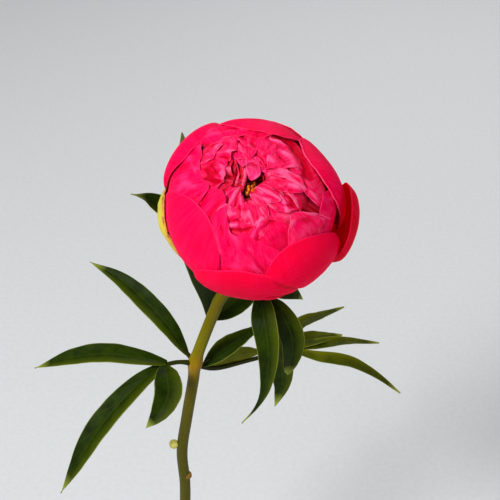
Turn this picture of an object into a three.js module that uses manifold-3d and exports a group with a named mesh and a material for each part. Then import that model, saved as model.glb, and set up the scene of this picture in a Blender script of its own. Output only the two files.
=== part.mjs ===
import * as THREE from 'three';
import * as BufferGeometryUtils from 'three/addons/utils/BufferGeometryUtils.js';
import Module from 'manifold-3d';

// A half-open double peony on its leafy stem, standing in a small bottle-shaped bud vase.
// Millimetres, +Z up. The origin is the centre of the vase's flat foot, and the bloom leans to -Y.

const wasm = await Module();
wasm.setup();

// Driving dimensions

const touchGap = 0.3;
const joinTolerance = 0.01;

const vaseHeight = 150;
const vaseFootRadius = 28;
const vaseBellyRadius = 38;
const vaseBellyHeight = 46;
const vaseNeckRadius = 11.5;
const vaseNeckHeight = 112;
const vaseLipRadius = 13;
const vaseMouthRadius = 8;
const vaseWall = 3.5;
const vaseSegments = 26;
const vaseFloor = 5;
const vaseFloorCorner = 6;
const lipRounding = 1.4;
const waterLevel = 88;

const stemRadius = 3.1;
const stemSides = 8;
const stemSteps = 36;

const bloomCentre = new THREE.Vector3(44.5, -36.4, 396);
const bloomAxis = new THREE.Vector3(-0.11, -0.552, 0.826).normalize();
const bloomRadius = 40.5;
const bloomHalfHeight = 36.5;
const eyeDent = 5;
const eyeDentWidth = 17;
const petalThickness = 0.7;
const petalRuffle = 0.12;
const petalFolds = 3;
const shellSpacing = 1;

const bladeThickness = 0.8;
const bladeFold = 0.22;
const bladeSteps = 7;
const bladeRoot = 0.03;
const broadBlade = 14;
const stalkRadius = 1.4;

const rad = THREE.MathUtils.degToRad;
const mix = THREE.MathUtils.lerp;
const smooth = THREE.MathUtils.smoothstep;
const point = ([x, y, z]) => new THREE.Vector3(x, y, z);

// A seeded random number between two limits
let seed = 20;
function between(low, high) {
  seed = (seed * 1664525 + 1013904223) % 4294967296;
  return mix(low, high, seed / 4294967296);
}

// From a closed surface to a solid, and from a solid to a named mesh

function solid(geometry) {
  const shell = geometry.index ? geometry.toNonIndexed() : geometry.clone();
  shell.deleteAttribute('normal');
  shell.deleteAttribute('uv');
  const merged = BufferGeometryUtils.mergeVertices(shell, 1e-3);
  const vertProperties = new Float32Array(merged.attributes.position.array);
  const corners = Array.from(merged.index.array);
  const triangles = [];
  for (let i = 0; i < corners.length; i += 3) {
    const [a, b, c] = corners.slice(i, i + 3);
    if (a !== b && b !== c && c !== a) triangles.push([a, b, c]);
  }
  const build = (list) => new wasm.Manifold(
    new wasm.Mesh({ numProp: 3, vertProperties, triVerts: new Uint32Array(list.flat()) }),
  );
  const body = build(triangles);
  return body.volume() > 0 ? body : build(triangles.map(([a, b, c]) => [a, c, b]));
}

// Grown pieces are one body: hollows that the joining seals are filled and loose scraps dropped
function joined(solids) {
  const whole = wasm.Manifold.union(solids).simplify(joinTolerance);
  return whole.decompose().reduce((best, body) => (body.volume() > best.volume() ? body : best));
}

function mesh(name, body, colour, roughness) {
  const { vertProperties, triVerts } = body.getMesh();
  const geometry = new THREE.BufferGeometry();
  geometry.setAttribute('position', new THREE.BufferAttribute(vertProperties, 3));
  geometry.setIndex(new THREE.BufferAttribute(triVerts, 1));
  geometry.computeVertexNormals();
  const material = new THREE.MeshStandardMaterial({ color: colour, roughness, metalness: 0 });
  const piece = new THREE.Mesh(geometry, material);
  piece.name = name;
  return piece;
}

// A thin curved sheet of even thickness through a grid of points, split alike on both faces
function sheet(rows, thickness) {
  const rowCount = rows.length;
  const columnCount = rows[0].length;
  const at = (i, j) => rows[Math.min(Math.max(i, 0), rowCount - 1)][
    Math.min(Math.max(j, 0), columnCount - 1)];
  const positions = [];
  for (const side of [1, -1]) {
    for (let i = 0; i < rowCount; i += 1) {
      for (let j = 0; j < columnCount; j += 1) {
        const along = at(i + 1, j).clone().sub(at(i - 1, j));
        const across = at(i, j + 1).clone().sub(at(i, j - 1));
        const normal = along.cross(across).normalize();
        const corner = at(i, j).clone().addScaledVector(normal, (side * thickness) / 2);
        positions.push(corner.x, corner.y, corner.z);
      }
    }
  }
  const faceSize = rowCount * columnCount;
  const index = (i, j, face) => face * faceSize + i * columnCount + j;
  const triangles = [];
  for (let i = 0; i + 1 < rowCount; i += 1) {
    for (let j = 0; j + 1 < columnCount; j += 1) {
      const corners = [[i, j], [i + 1, j], [i + 1, j + 1], [i, j + 1]];
      const [a, b, c, d] = corners.map(([r, s]) => index(r, s, 0));
      const [e, f, g, h] = corners.map(([r, s]) => index(r, s, 1));
      triangles.push(a, b, c, a, c, d, e, g, f, e, h, g);
    }
  }
  const rim = [];
  for (let j = 0; j + 1 < columnCount; j += 1) rim.push([0, j]);
  for (let i = 0; i + 1 < rowCount; i += 1) rim.push([i, columnCount - 1]);
  for (let j = columnCount - 1; j > 0; j -= 1) rim.push([rowCount - 1, j]);
  for (let i = rowCount - 1; i > 0; i -= 1) rim.push([i, 0]);
  rim.forEach(([i, j], k) => {
    const [m, n] = rim[(k + 1) % rim.length];
    const [a, b] = [index(i, j, 0), index(m, n, 0)];
    const [c, d] = [index(i, j, 1), index(m, n, 1)];
    triangles.push(a, b, d, a, d, c);
  });
  const geometry = new THREE.BufferGeometry();
  geometry.setAttribute('position', new THREE.Float32BufferAttribute(positions, 3));
  geometry.setIndex(triangles);
  return solid(geometry);
}

function tube(curve, radius, sides, steps) {
  const section = new THREE.Shape();
  section.absarc(0, 0, radius, 0, 2 * Math.PI);
  return solid(new THREE.ExtrudeGeometry(section, {
    extrudePath: curve, steps, curveSegments: sides / 2, bevelEnabled: false,
  }));
}

function ball(centre, radius) {
  const geometry = new THREE.SphereGeometry(radius, 8, 6);
  geometry.translate(centre.x, centre.y, centre.z);
  return solid(geometry);
}

// A turned solid whose profile is [radius, height] and whose axis runs from a point along a direction
function turned(profile, segments, origin = new THREE.Vector3(), direction = new THREE.Vector3(0, 0, 1)) {
  const geometry = new THREE.LatheGeometry(profile.map(([r, h]) => new THREE.Vector2(r, h)), segments);
  const turn = new THREE.Quaternion().setFromUnitVectors(new THREE.Vector3(0, 1, 0), direction);
  geometry.applyQuaternion(turn);
  geometry.translate(origin.x, origin.y, origin.z);
  return solid(geometry);
}

// The vase: a thrown bottle with a round belly, a slim neck and a small rolled lip

const vaseSide = new THREE.CatmullRomCurve3([
  point([vaseFootRadius, 0, 0]),
  point([vaseFootRadius + 3.5, 5, 0]),
  point([vaseBellyRadius, vaseBellyHeight, 0]),
  point([vaseBellyRadius * 0.72, vaseBellyHeight + 34, 0]),
  point([vaseNeckRadius + 2.5, vaseNeckHeight - 14, 0]),
  point([vaseNeckRadius, vaseNeckHeight + 4, 0]),
  point([vaseNeckRadius, vaseHeight - 12, 0]),
  point([vaseLipRadius, vaseHeight - 2, 0]),
], false, 'centripetal');
const outerHeights = [0, 3, 14, 30, 46, 60, 74, 88, 102, 120, 140];
const innerHeights = [14, 30, 46, 60, 74, 88, 102, 120];

// The outer radius at a height, found by halving the side's length again and again
function vaseOuter(height) {
  let low = 0;
  let high = 1;
  while (high - low > 1e-6) {
    const middle = (low + high) / 2;
    if (vaseSide.getPoint(middle).y < height) low = middle;
    else high = middle;
  }
  return vaseSide.getPoint(low).x;
}

function vaseInner(height) {
  return Math.max(vaseMouthRadius, vaseOuter(height) - vaseWall);
}

const vaseFloorRadius = vaseInner(innerHeights[0]) - vaseFloorCorner;

function vase() {
  const profile = [
    [0, 0],
    ...outerHeights.map((z) => [vaseOuter(z), z]),
    [vaseLipRadius, vaseHeight - lipRounding],
    [vaseLipRadius - lipRounding, vaseHeight],
    [vaseMouthRadius + lipRounding, vaseHeight],
    [vaseMouthRadius, vaseHeight - lipRounding],
    ...innerHeights.toReversed().map((z) => [vaseInner(z), z]),
    [vaseFloorRadius, vaseFloor],
    [0, vaseFloor],
  ];
  return turned(profile, vaseSegments);
}

// The water fills the belly round the cut stem
function water(stemRoom) {
  const heights = [...innerHeights.filter((z) => z < waterLevel), waterLevel];
  const profile = [
    [0, vaseFloor + touchGap],
    [vaseFloorRadius - touchGap, vaseFloor + touchGap],
    ...heights.map((z) => [vaseInner(z) - 1.5 * touchGap, z]),
    [0, waterLevel],
  ];
  return turned(profile, vaseSegments).subtract(stemRoom);
}

// The stem leans on the vase's lip, rises in a slow bend and nods into the bloom

const stemEnd = bloomCentre.clone().addScaledVector(bloomAxis, -46.6);
const stemCurve = new THREE.CatmullRomCurve3([
  point([-10, 10, 6]),
  point([-4, 4.2, 75]),
  point([3.2, -3.3, 150]),
  point([4.8, -3.6, 184]),
  point([4, -3.6, 210]),
  point([7.8, -3.6, 238]),
  point([12.1, -3.6, 265.3]),
  point([13.4, -3.6, 276.7]),
  point([19.1, -4, 296.4]),
  point([24.4, -5.4, 312.8]),
  point([28.2, -6.4, 323]),
  stemEnd.clone().addScaledVector(bloomAxis, -10),
  stemEnd,
], false, 'centripetal');

// Swellings: where the leaves part, the scar of a lower leaf, and a shed side bud
const leafNode = new THREE.Vector3(12.9, -3.6, 276.5);
const leafNodeRadius = 4.3;
const leafScar = new THREE.Vector3(6.2, -4, 191);
const leafScarRadius = 2.7;
const shedBud = new THREE.Vector3(-0.4, -4.2, 216.2);
const shedBudRadius = 2.6;

function stem() {
  return joined([
    tube(stemCurve, stemRadius, stemSides, stemSteps),
    ball(leafNode, leafNodeRadius),
    ball(leafScar, leafScarRadius),
    ball(shedBud, shedBudRadius),
  ]);
}

// The room that the stem takes among the pieces that touch it, its cut foot included
function stemClearance() {
  return wasm.Manifold.union([
    tube(stemCurve, stemRadius + touchGap, stemSides, stemSteps),
    ball(leafNode, leafNodeRadius + touchGap),
    ball(stemCurve.getPoint(0), stemRadius + 3 * touchGap),
  ]);
}

// The bloom: petals are sheets on shells round its axis, each shell a little further in

const seedAxis = new THREE.Vector3(1, 0, 0);
const bloomRight = seedAxis.clone().addScaledVector(bloomAxis, -seedAxis.dot(bloomAxis)).normalize();
const bloomBack = bloomAxis.clone().cross(bloomRight);

// The ball is fuller at its upper left and leaner at its upper right
function bulge(around, middle, width) {
  const away = ((((around - middle) % 360) + 540) % 360) - 180;
  return Math.exp(-((away / width) ** 2));
}

function fullness(around) {
  return 2.2 * bulge(around, 118, 40) - 2.3 * bulge(around, 38, 26);
}

// A point at an angle from the eye and an angle round the axis, both in degrees
function bloomPoint(fromEye, around, offset) {
  const down = rad(fromEye);
  const turn = rad(around);
  const reach = 1 / Math.hypot(Math.sin(down) / bloomRadius, Math.cos(down) / bloomHalfHeight);
  const dent = eyeDent * Math.exp(-((fromEye / eyeDentWidth) ** 2));
  const out = reach - dent + fullness(around) * Math.sin(down) + offset;
  return bloomCentre.clone()
    .addScaledVector(bloomAxis, out * Math.cos(down))
    .addScaledVector(bloomRight, out * Math.sin(down) * Math.cos(turn))
    .addScaledVector(bloomBack, out * Math.sin(down) * Math.sin(turn));
}

// The packed middle of the bud: shallow under the outer petals' roots and deeper towards the eye,
// so that the outer petals are rooted lowest and each shell further in is rooted a little higher
const outerRoot = 150;
const rootStep = 5;
const baseDepth = 0.4;
const rootDepth = 1.2;
const sideDepth = 4.2;
const eyeDepth = 7.6;

function coreInset(fromEye) {
  const side = rootDepth + (outerRoot - fromEye) / rootStep;
  const eyeShare = 1 - smooth(fromEye, 42, 92);
  return THREE.MathUtils.clamp(side, baseDepth, sideDepth) + (eyeDepth - sideDepth) * eyeShare;
}

// One petal. Its free edge is a list of [angle round the axis, angle from the eye]. Its shell
// counts inwards from the guard petals, and its root turns down into the core. Flare lifts the free
// edge, belly lifts the middle, hug keeps the two sides of the petal down, and tilt lifts one side.
const facetAngle = 12;
const rootTurn = 6;

function petal({ edge, shell, root, flare = 0, belly = 0, bellyRise = 1, hug = 0, tilt = 0 }) {
  const rim = new THREE.CatmullRomCurve3(
    edge.map(([around, fromEye]) => new THREE.Vector3(around, fromEye, 0)), false, 'centripetal');
  const first = edge[0][0];
  const last = edge[edge.length - 1][0];
  const tip = Math.min(...edge.map(([, fromEye]) => fromEye));
  const girth = (last - first) * Math.sin(rad(Math.min(90, (root + tip) / 2)));
  const columns = Math.max(4, Math.round(girth / facetAngle));
  const rows = 1 + Math.max(2, Math.round((root - rootTurn - tip) / facetAngle));
  const grid = [];
  for (let i = 0; i <= rows; i += 1) {
    const up = Math.max(0, (i - 1) / (rows - 1));
    grid.push([]);
    for (let j = 0; j <= columns; j += 1) {
      const across = j / columns;
      const edgePoint = rim.getPointAt(across);
      const fromEye = i === 0 ? root : mix(root - rootTurn, edgePoint.y, up);
      const evenTurn = mix(first, last, mix(0.08, 0.92, across));
      const around = mix(evenTurn, edgePoint.x, smooth(up, 0, 0.5));
      const wave = petalRuffle * Math.sin(2 * Math.PI * petalFolds * across + shell) * up * up;
      const inset = i === 0 ? Math.max(coreInset(root), shell * shellSpacing) + 1 : shell * shellSpacing;
      const stand = flare * up ** 3 + belly * Math.sin(Math.PI * up ** bellyRise);
      const held = 1 - hug * Math.abs(2 * across - 1) ** 3;
      const leaning = tilt * (2 * across - 1) * up * up;
      grid[i].push(bloomPoint(fromEye, around, stand * held + leaning + wave - inset));
    }
  }
  return sheet(grid, petalThickness);
}

const guardPetals = [
  { shell: 0.3, root: 148, belly: 1.4, hug: 1, edge: [[226, 106], [229, 86], [242, 73], [253, 68],
    [266, 66], [278, 68], [289, 78], [297, 108]] },
  { shell: 0, root: 118, belly: 2.7, hug: 0.9, edge: [[107, 96], [112, 76], [119, 59], [128, 51],
    [140, 49], [153, 52], [161, 61], [166, 77], [168, 98]] },
  { shell: 0, root: 140, flare: 4.8, belly: 5.1, bellyRise: 1.7, hug: 1, tilt: 2, edge: [[-33, 112],
    [-31, 98], [-28, 91], [-23, 87], [-18, 84], [-10, 80], [-3, 75], [0.5, 72], [4.5, 75], [7.5, 84],
    [9.5, 98]] },
  { shell: 1, root: 114, edge: [[40, 86], [46, 66], [54, 51], [64, 44], [76, 41], [90, 42], [99, 46],
    [108, 56], [113, 72], [116, 90]] },
  { shell: 1.8, root: 112, belly: 2.8, hug: 1, edge: [[-13, 102], [-8, 86], [-4, 74], [2, 64], [9, 58],
    [19, 54], [31, 54], [42, 59.5], [51, 67], [57, 84]] },
  { shell: 1, root: 142, edge: [[162, 106], [168, 86], [174, 72], [179, 58], [187, 48], [198, 41],
    [212, 38], [227, 39], [239, 46], [246, 56], [248, 68], [248, 82], [246, 96]] },
  { shell: 1, root: 132, belly: 3.4, hug: 0.7, edge: [[272, 94], [277, 78], [282, 68], [289, 61],
    [302, 57], [315, 60], [326, 68], [335, 80], [341, 98]] },
  { shell: -1, root: 150, edge: [[40, 108], [49, 94], [60, 85], [75, 83], [92, 92], [100, 108]] },
  { shell: -1, root: 150, flare: 1.8, edge: [[106, 112], [114, 98], [128, 92], [144, 97],
    [153, 112]] },
  { shell: -1, root: 148, edge: [[159, 122], [166, 106], [178, 99], [194, 104], [204, 122]] },
  { shell: -1, root: 152, edge: [[284, 134], [300, 119], [318, 117], [334, 130]] },
];

const innerPetals = [
  { shell: 1.8, root: 84, edge: [[88, 62], [92, 46], [100, 36], [114, 34], [129, 38], [142, 56],
    [150, 70]] },
  { shell: 2.4, root: 86, edge: [[190, 48], [192, 32], [198, 22], [212, 20], [226, 23], [233, 31],
    [243, 35], [253, 42], [264, 52], [276, 72]] },
  { shell: 1.9, root: 76, edge: [[298, 66], [306, 51], [313, 45], [320, 42], [328, 46], [334, 53],
    [337, 60], [340, 70]] },
  { shell: 2.6, root: 86, edge: [[126, 68], [134, 50], [146, 40], [160, 36], [172, 33], [187, 28],
    [197, 30], [203, 40], [208, 56]] },
  { shell: 2.8, root: 90, edge: [[321, 84], [327, 69], [334, 62], [343, 59], [354, 60], [361, 67],
    [368, 80]] },
  { shell: 3, root: 80, edge: [[250, 64], [258, 51], [267, 45], [276, 39], [284, 36], [292, 35],
    [300, 37], [309, 43], [318, 54], [326, 66]] },
  { shell: 3.6, root: 68, edge: [[-16, 58], [-10, 44], [-2, 30], [8, 21], [20, 20], [34, 20],
    [48, 24], [58, 31], [66, 42], [73, 56]] },
  { shell: 3.5, root: 50, edge: [[98, 34], [107, 21], [119, 20], [134, 19], [154, 18], [172, 17],
    [184, 20], [192, 32]] },
  { shell: 4, root: 52, edge: [[226, 38], [232, 27], [246, 24], [263, 21], [280, 21], [298, 23],
    [314, 28], [324, 40]] },
  { shell: 3.1, root: 56, edge: [[16, 34], [26, 21], [44, 20], [58, 23], [75, 24], [92, 27],
    [104, 33], [111, 37], [121, 33], [136, 32], [150, 33], [160, 44]] },
  { shell: 4.2, root: 62, edge: [[-38, 44], [-27, 27], [-10, 20], [6, 18], [22, 21], [34, 32]] },
];

// Small crumpled petals stand round the eye
const eyePetalCount = 8;

function eyePetals() {
  const ring = [];
  for (let i = 0; i < eyePetalCount; i += 1) {
    const middle = (360 / eyePetalCount) * i + between(-4, 4);
    const half = between(24, 28);
    const top = between(15, 19);
    ring.push(petal({
      shell: 6 + (i % 2),
      root: 44 - 4 * (i % 2),
      edge: [[middle - half, top + 9], [middle - half * 0.5, top + 2], [middle, top],
        [middle + half * 0.5, top + 3], [middle + half, top + 9]],
    }));
  }
  return ring;
}

const eyeWellAngle = 14;
const wellRadius = 7.4;
const wellFloor = bloomHalfHeight - 22;

function bloomCore() {
  const profile = [];
  for (let fromEye = 180; fromEye >= 24; fromEye -= 12) {
    const place = bloomPoint(fromEye, 0, -coreInset(fromEye)).sub(bloomCentre);
    profile.push([Math.max(place.dot(bloomRight), 0), place.dot(bloomAxis)]);
  }
  const brim = bloomPoint(eyeWellAngle, 0, -eyeDepth).sub(bloomCentre);
  profile.push([wellRadius + 0.6, brim.dot(bloomAxis)]);
  profile.push([wellRadius, wellFloor]);
  profile.push([0, wellFloor]);
  return turned(profile, 20, bloomCentre, bloomAxis);
}

function bloom() {
  const petals = [...guardPetals, ...innerPetals].map((each) => petal(each));
  return joined([bloomCore(), ...petals, ...eyePetals()]);
}

// Stamens: slim stalks with thick anthers, grown from a low ring on the floor of the well
const stamenCount = 14;

function onBloomAxis(height, out = 0, around = 0) {
  return bloomCentre.clone()
    .addScaledVector(bloomAxis, height)
    .addScaledVector(bloomRight, out * Math.cos(rad(around)))
    .addScaledVector(bloomBack, out * Math.sin(rad(around)));
}

const stamenSeat = wellFloor + touchGap;
const carpelRoom = 2.6;

function stamens() {
  const ringTop = stamenSeat + 1.6;
  const parts = [turned([
    [carpelRoom, stamenSeat], [6.2, stamenSeat], [5.6, ringTop], [carpelRoom, ringTop],
    [carpelRoom, stamenSeat],
  ], 14, bloomCentre, bloomAxis)];
  for (let i = 0; i < stamenCount; i += 1) {
    const around = (360 / stamenCount) * i + between(-7, 7);
    const foot = between(3.5, 4.4);
    const length = between(7.5, 10.5);
    const start = onBloomAxis(stamenSeat + 0.6, foot, around);
    const end = onBloomAxis(stamenSeat + length, foot - between(-0.3, 1.2), around);
    const anther = onBloomAxis(stamenSeat + length + 2.4, foot - between(-0.3, 1.2), around + 4);
    parts.push(tube(new THREE.LineCurve3(start, end), 0.4, 4, 1));
    parts.push(tube(new THREE.LineCurve3(end, anther), 0.75, 4, 1));
  }
  return joined(parts);
}

// Carpels: three small flasks joined at the foot
function carpels() {
  const height = 7;
  const body = [[0, stamenSeat], [1.1, stamenSeat], [1.3, stamenSeat + 2.4], [0.5, stamenSeat + height],
    [0, stamenSeat + height]];
  return joined([90, 210, 330].map((around) => {
    const foot = onBloomAxis(0, 1, around);
    return turned(body, 7, foot, bloomAxis);
  }));
}

// The calyx: a fleshy receptacle under the petals, with five rounded sepals clasping them

const sepals = [
  { middle: 183, half: 15, tip: 84, stand: 1.4 },
  { middle: 262, half: 22, tip: 128, stand: 1 },
  { middle: 326, half: 20, tip: 130, stand: 1 },
  { middle: 40, half: 24, tip: 118, stand: 1.6 },
  { middle: 112, half: 24, tip: 114, stand: 1.6 },
];
const sepalRoot = 168;
const sepalThickness = 1.1;
const petalOutside = 2.4;

function sepal({ middle, half, tip, stand }) {
  const rows = 5;
  const columns = 4;
  const grid = [];
  for (let i = 0; i <= rows; i += 1) {
    const up = i / rows;
    grid.push([]);
    for (let j = -columns / 2; j <= columns / 2; j += 1) {
      const side = (2 * j) / columns;
      const roundTip = 1 - 0.3 * side * side * up;
      const fromEye = mix(sepalRoot, tip, up * roundTip);
      const spread = mix(1.5, 1, up) * half * side;
      const lift = mix(1, petalOutside, smooth(up, 0, 0.25)) + stand * up * up;
      grid[i].push(bloomPoint(fromEye, middle + spread, lift));
    }
  }
  return sheet(grid, sepalThickness);
}

function calyx() {
  const underside = -bloomHalfHeight - 0.6;
  const cup = [[0, underside], [5, underside + 0.2], [10.6, underside + 1.5],
    [10.2, underside - 1.4], [6.5, underside - 5], [4.2, underside - 9], [0, underside - 9]];
  return joined([turned(cup, 16, bloomCentre, bloomAxis), ...sepals.map(sepal)]);
}

// Leaves. A blade follows its midrib from root to tip, its upper side looks towards "face", its
// halves rise from the midrib, and its edges run in slow waves. A lower "broad" puts its widest
// place nearer the root, and a lower "blunt" rounds its ends.

function blade({ rib, width, face, wave = 0.5, broad = 0.85, blunt = 0.9 }) {
  const curve = new THREE.CatmullRomCurve3(rib.map(point), false, 'centripetal');
  const look = point(face).normalize();
  const columns = width < broadBlade ? [-1, 0, 1] : [-1, -0.5, 0, 0.5, 1];
  const grid = [];
  for (let i = 0; i <= bladeSteps; i += 1) {
    const along = i / bladeSteps;
    const centre = curve.getPointAt(along);
    const tangent = curve.getTangentAt(along);
    const side = tangent.clone().cross(look).normalize();
    const up = side.clone().cross(tangent);
    const swell = Math.sin(Math.PI * ((along + bladeRoot) / (1 + bladeRoot)) ** broad) ** blunt;
    const half = Math.max((width / 2) * swell, 0.7);
    grid.push(columns.map((x) => {
      const ripple = wave * Math.sin(9 * along + 2 * x) * Math.abs(x);
      return centre.clone()
        .addScaledVector(side, half * x)
        .addScaledVector(up, half * bladeFold * Math.abs(x) + ripple);
    }));
  }
  return sheet(grid, bladeThickness);
}

function leaf({ stalk, blades }, stemRoom) {
  const parts = blades.map(blade);
  if (stalk) {
    const curve = new THREE.CatmullRomCurve3(stalk.map(point), false, 'centripetal');
    parts.push(tube(curve, stalkRadius, 6, 2 * (stalk.length - 1) + 1));
  }
  return joined([wasm.Manifold.union(parts).subtract(stemRoom)]);
}

const leafLeft = {
  stalk: [[12.9, -3.6, 276], [4.4, -7, 279.6], [-3.4, -9.5, 279.7]],
  blades: [
    { rib: [[-1.3, -9, 280.7], [-15.2, -10, 285], [-33.3, -8, 286], [-53.4, -4, 279.9],
      [-73.9, 0, 269.3]], width: 13, face: [0, -0.25, 1] },
    { rib: [[-2.4, -9, 279.6], [-11.5, -16, 277], [-24.4, -25, 268.3], [-38.7, -34, 253.2],
      [-49.3, -41, 236.7], [-58.3, -45, 220.5]], width: 15.5, face: [-0.5, -0.45, 0.8] },
    { rib: [[-2.4, -9, 279.6], [-0.6, -20, 279.9], [0.3, -29, 276.9], [-3.5, -37, 271.8],
      [-10.8, -41, 264.3]], width: 14.5, face: [0.1, -0.5, 0.9] },
  ],
};

const leafUpperLeft = {
  stalk: [[12.9, -3.6, 277], [6.5, -0.6, 284]],
  blades: [
    { rib: [[9, -2, 281], [-0.9, 4, 295.3], [-12.4, 14, 303], [-27.4, 25, 310.8], [-44.4, 35, 315]],
      width: 11.5, face: [0.1, -0.5, 0.85] },
  ],
};

const leafRight = {
  stalk: [[12.9, -3.6, 275.3], [23.6, 2, 267.6], [42.7, 10, 266.4], [64.5, 20, 265.9]],
  blades: [
    { rib: [[17.2, -1, 271.4], [27.6, 3, 278.8], [38.9, 9, 283.6], [49.8, 15, 287.8]], width: 12,
      face: [-0.3, -0.4, 1] },
    { rib: [[17.2, -1, 270.8], [27.5, 3, 271.7], [38.9, 8, 271.7], [51.5, 13, 270.4]], width: 12,
      face: [0, 1, 0.1] },
    { rib: [[62.8, 19.2, 266.4], [70.2, 30, 275], [82, 40, 273.5], [97, 50, 272.2]], width: 7,
      face: [0, -0.3, 1] },
    { rib: [[63.4, 20, 265.9], [73.2, 28, 265.1], [85.1, 36, 261.4], [96, 42, 257.9]], width: 10,
      face: [0, -0.3, 1] },
    { rib: [[63.9, 20, 265.9], [77.8, 28, 262.1], [97.3, 36, 258.4], [118.1, 44, 250.3]],
      width: 6.5, face: [0, -0.4, 1] },
    { rib: [[63.9, 20, 265.9], [79.8, 20, 260.8], [98.8, 18, 258.1], [113.8, 16, 250.2],
      [128, 14, 238.4]], width: 7, face: [0.2, -0.45, 0.9] },
  ],
};

const leafFront = {
  stalk: [[44, -6.4, 344], [44, -20, 342], [48, -35, 344]],
  blades: [
    { rib: [[48, -34, 343.8], [49.3, -46, 340.5], [51.2, -53, 329.8], [51.3, -55, 316],
      [49.5, -54, 300.3], [45.2, -52, 287.9], [38.7, -50, 276.5]], width: 12.5, broad: 0.45,
      blunt: 1.5,
      face: [-0.25, -1, 0.3] },
    { rib: [[48, -33, 343.8], [57, -42, 340.5], [62.3, -46, 330.2], [63, -46, 317.7],
      [60.9, -44, 303.8]], width: 12, broad: 1.05, blunt: 0.6, face: [0.3, -1, 0.3] },
    { rib: [[48, -33, 343.8], [53.4, -36, 322], [58.2, -34, 302.9], [59, -32, 286.5],
      [55.7, -30, 269.4]], width: 12.5, broad: 1, face: [0, -1, 0.1], wave: 0.3 },
    { rib: [[48, -34, 343.8], [54.8, -26, 342.5], [63.4, -20, 336.2], [68.7, -16, 328.7]],
      width: 10, face: [0.2, -0.7, 0.7] },
  ],
};

const leafBehind = {
  stalk: [[20, -4.4, 299], [23, 1, 305]],
  blades: [
    { rib: [[22, 0, 304], [25.6, 6, 313], [24, 16, 326], [17, 32, 352], [7.7, 46, 389]], width: 20,
      face: [-0.2, -1, 0.25] },
    { rib: [[22, 0, 304], [32, 3, 310], [42, 9, 320], [53, 19, 338]], width: 16,
      face: [0.1, -0.9, 0.4] },
  ],
};

const bractLeft = {
  stalk: [[50.2, -7, 352], [44, 0, 353]],
  blades: [
    { rib: [[46, -2, 352.8], [25, 4, 355.4], [4.4, 6, 367], [-6, 3, 375.2], [-14.4, -4, 383]],
      width: 14, face: [-0.4, -0.5, 0.7] },
  ],
};

const bractBack = {
  stalk: [[50.4, -7, 352], [54, 0, 353]],
  blades: [
    { rib: [[53, -2, 352.6], [62, 10, 358], [72, 20, 370], [78, 24, 386]], width: 13,
      face: [0.5, 0.8, 0.5] },
  ],
};

// The whole, piece by piece

const stemRoom = stemClearance();
const leafGreen = 0x3a4d10;

const peonyInVase = new THREE.Group();
peonyInVase.add(
  mesh('vase', vase(), 0x8f9394, 0.35),
  mesh('water', water(stemRoom), 0xdfeaea, 0.05),
  mesh('stem', stem(), 0x6f6c10, 0.5),
  mesh('calyx', calyx(), 0xb4a83a, 0.55),
  mesh('bloom', bloom(), 0xf01850, 0.6),
  mesh('stamens', stamens(), 0xd9871c, 0.7),
  mesh('carpels', carpels(), 0x9fb04a, 0.6),
  mesh('leaf_left', leaf(leafLeft, stemRoom), leafGreen, 0.5),
  mesh('leaf_upper_left', leaf(leafUpperLeft, stemRoom), leafGreen, 0.5),
  mesh('leaf_right', leaf(leafRight, stemRoom), leafGreen, 0.5),
  mesh('leaf_front', leaf(leafFront, stemRoom), leafGreen, 0.5),
  mesh('leaf_behind', leaf(leafBehind, stemRoom), leafGreen, 0.5),
  mesh('bract_left', leaf(bractLeft, stemRoom), leafGreen, 0.5),
  mesh('bract_back', leaf(bractBack, stemRoom), leafGreen, 0.5),
);

export default peonyInVase;
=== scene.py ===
import math
import random
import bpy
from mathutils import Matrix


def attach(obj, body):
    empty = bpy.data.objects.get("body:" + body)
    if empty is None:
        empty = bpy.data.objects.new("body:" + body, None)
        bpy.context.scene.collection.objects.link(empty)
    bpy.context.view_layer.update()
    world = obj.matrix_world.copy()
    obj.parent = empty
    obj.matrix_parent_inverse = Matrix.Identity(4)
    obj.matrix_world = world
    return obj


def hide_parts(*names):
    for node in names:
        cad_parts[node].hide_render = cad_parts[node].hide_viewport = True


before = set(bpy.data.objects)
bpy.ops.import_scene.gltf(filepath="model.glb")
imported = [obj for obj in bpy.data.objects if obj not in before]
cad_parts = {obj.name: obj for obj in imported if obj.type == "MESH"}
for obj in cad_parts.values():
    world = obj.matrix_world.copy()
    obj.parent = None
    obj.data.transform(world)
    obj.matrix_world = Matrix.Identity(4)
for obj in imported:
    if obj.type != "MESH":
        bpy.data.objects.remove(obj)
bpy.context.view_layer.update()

from types import SimpleNamespace

import bpy
from mathutils import Vector, noise

# A half-open double peony on a leafy stem in a bottle-shaped bud vase.
# The frame is in metres. Sizes below are in millimetres and are scaled when a mesh is made.
mm = 0.001
print('frame loaded:', len(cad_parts), 'nodes')


def mix(low, high, share):
    return low + (high - low) * share


def smooth(value, low, high):
    share = min(1.0, max(0.0, (value - low) / (high - low)))
    return share * share * (3 - 2 * share)


def linear(hexColour):
    # sRGB hex to the linear values that the shaders take
    channels = [int(hexColour[i:i + 2], 16) / 255 for i in (1, 3, 5)]
    return [c / 12.92 if c <= 0.04045 else ((c + 0.055) / 1.055) ** 2.4 for c in channels] + [1.0]


def addNode(kind, inputs, tree=None, **settings):
    # one node: inputs hold values or sockets to link. It joins the tree of its first socket
    sockets = {name: value for name, value in inputs.items() if isinstance(value, bpy.types.NodeSocket)}
    tree = tree or next(iter(sockets.values())).id_data
    node = tree.nodes.new('ShaderNode' + kind)
    for name, value in settings.items():
        setattr(node, name, value)
    for name, value in inputs.items():
        if name in sockets:
            tree.links.new(value, node.inputs[name])
        else:
            node.inputs[name].default_value = value
    return node


# what the materials are built from, each giving the socket that goes on

def objectPlace(tree):
    return addNode('TexCoord', {}, tree).outputs['Object']


def growthPlace(tree):
    return addNode('UVMap', {}, tree, uv_map='growth').outputs['UV']


def split(vector):
    return addNode('SeparateXYZ', {'Vector': vector}).outputs


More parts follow.
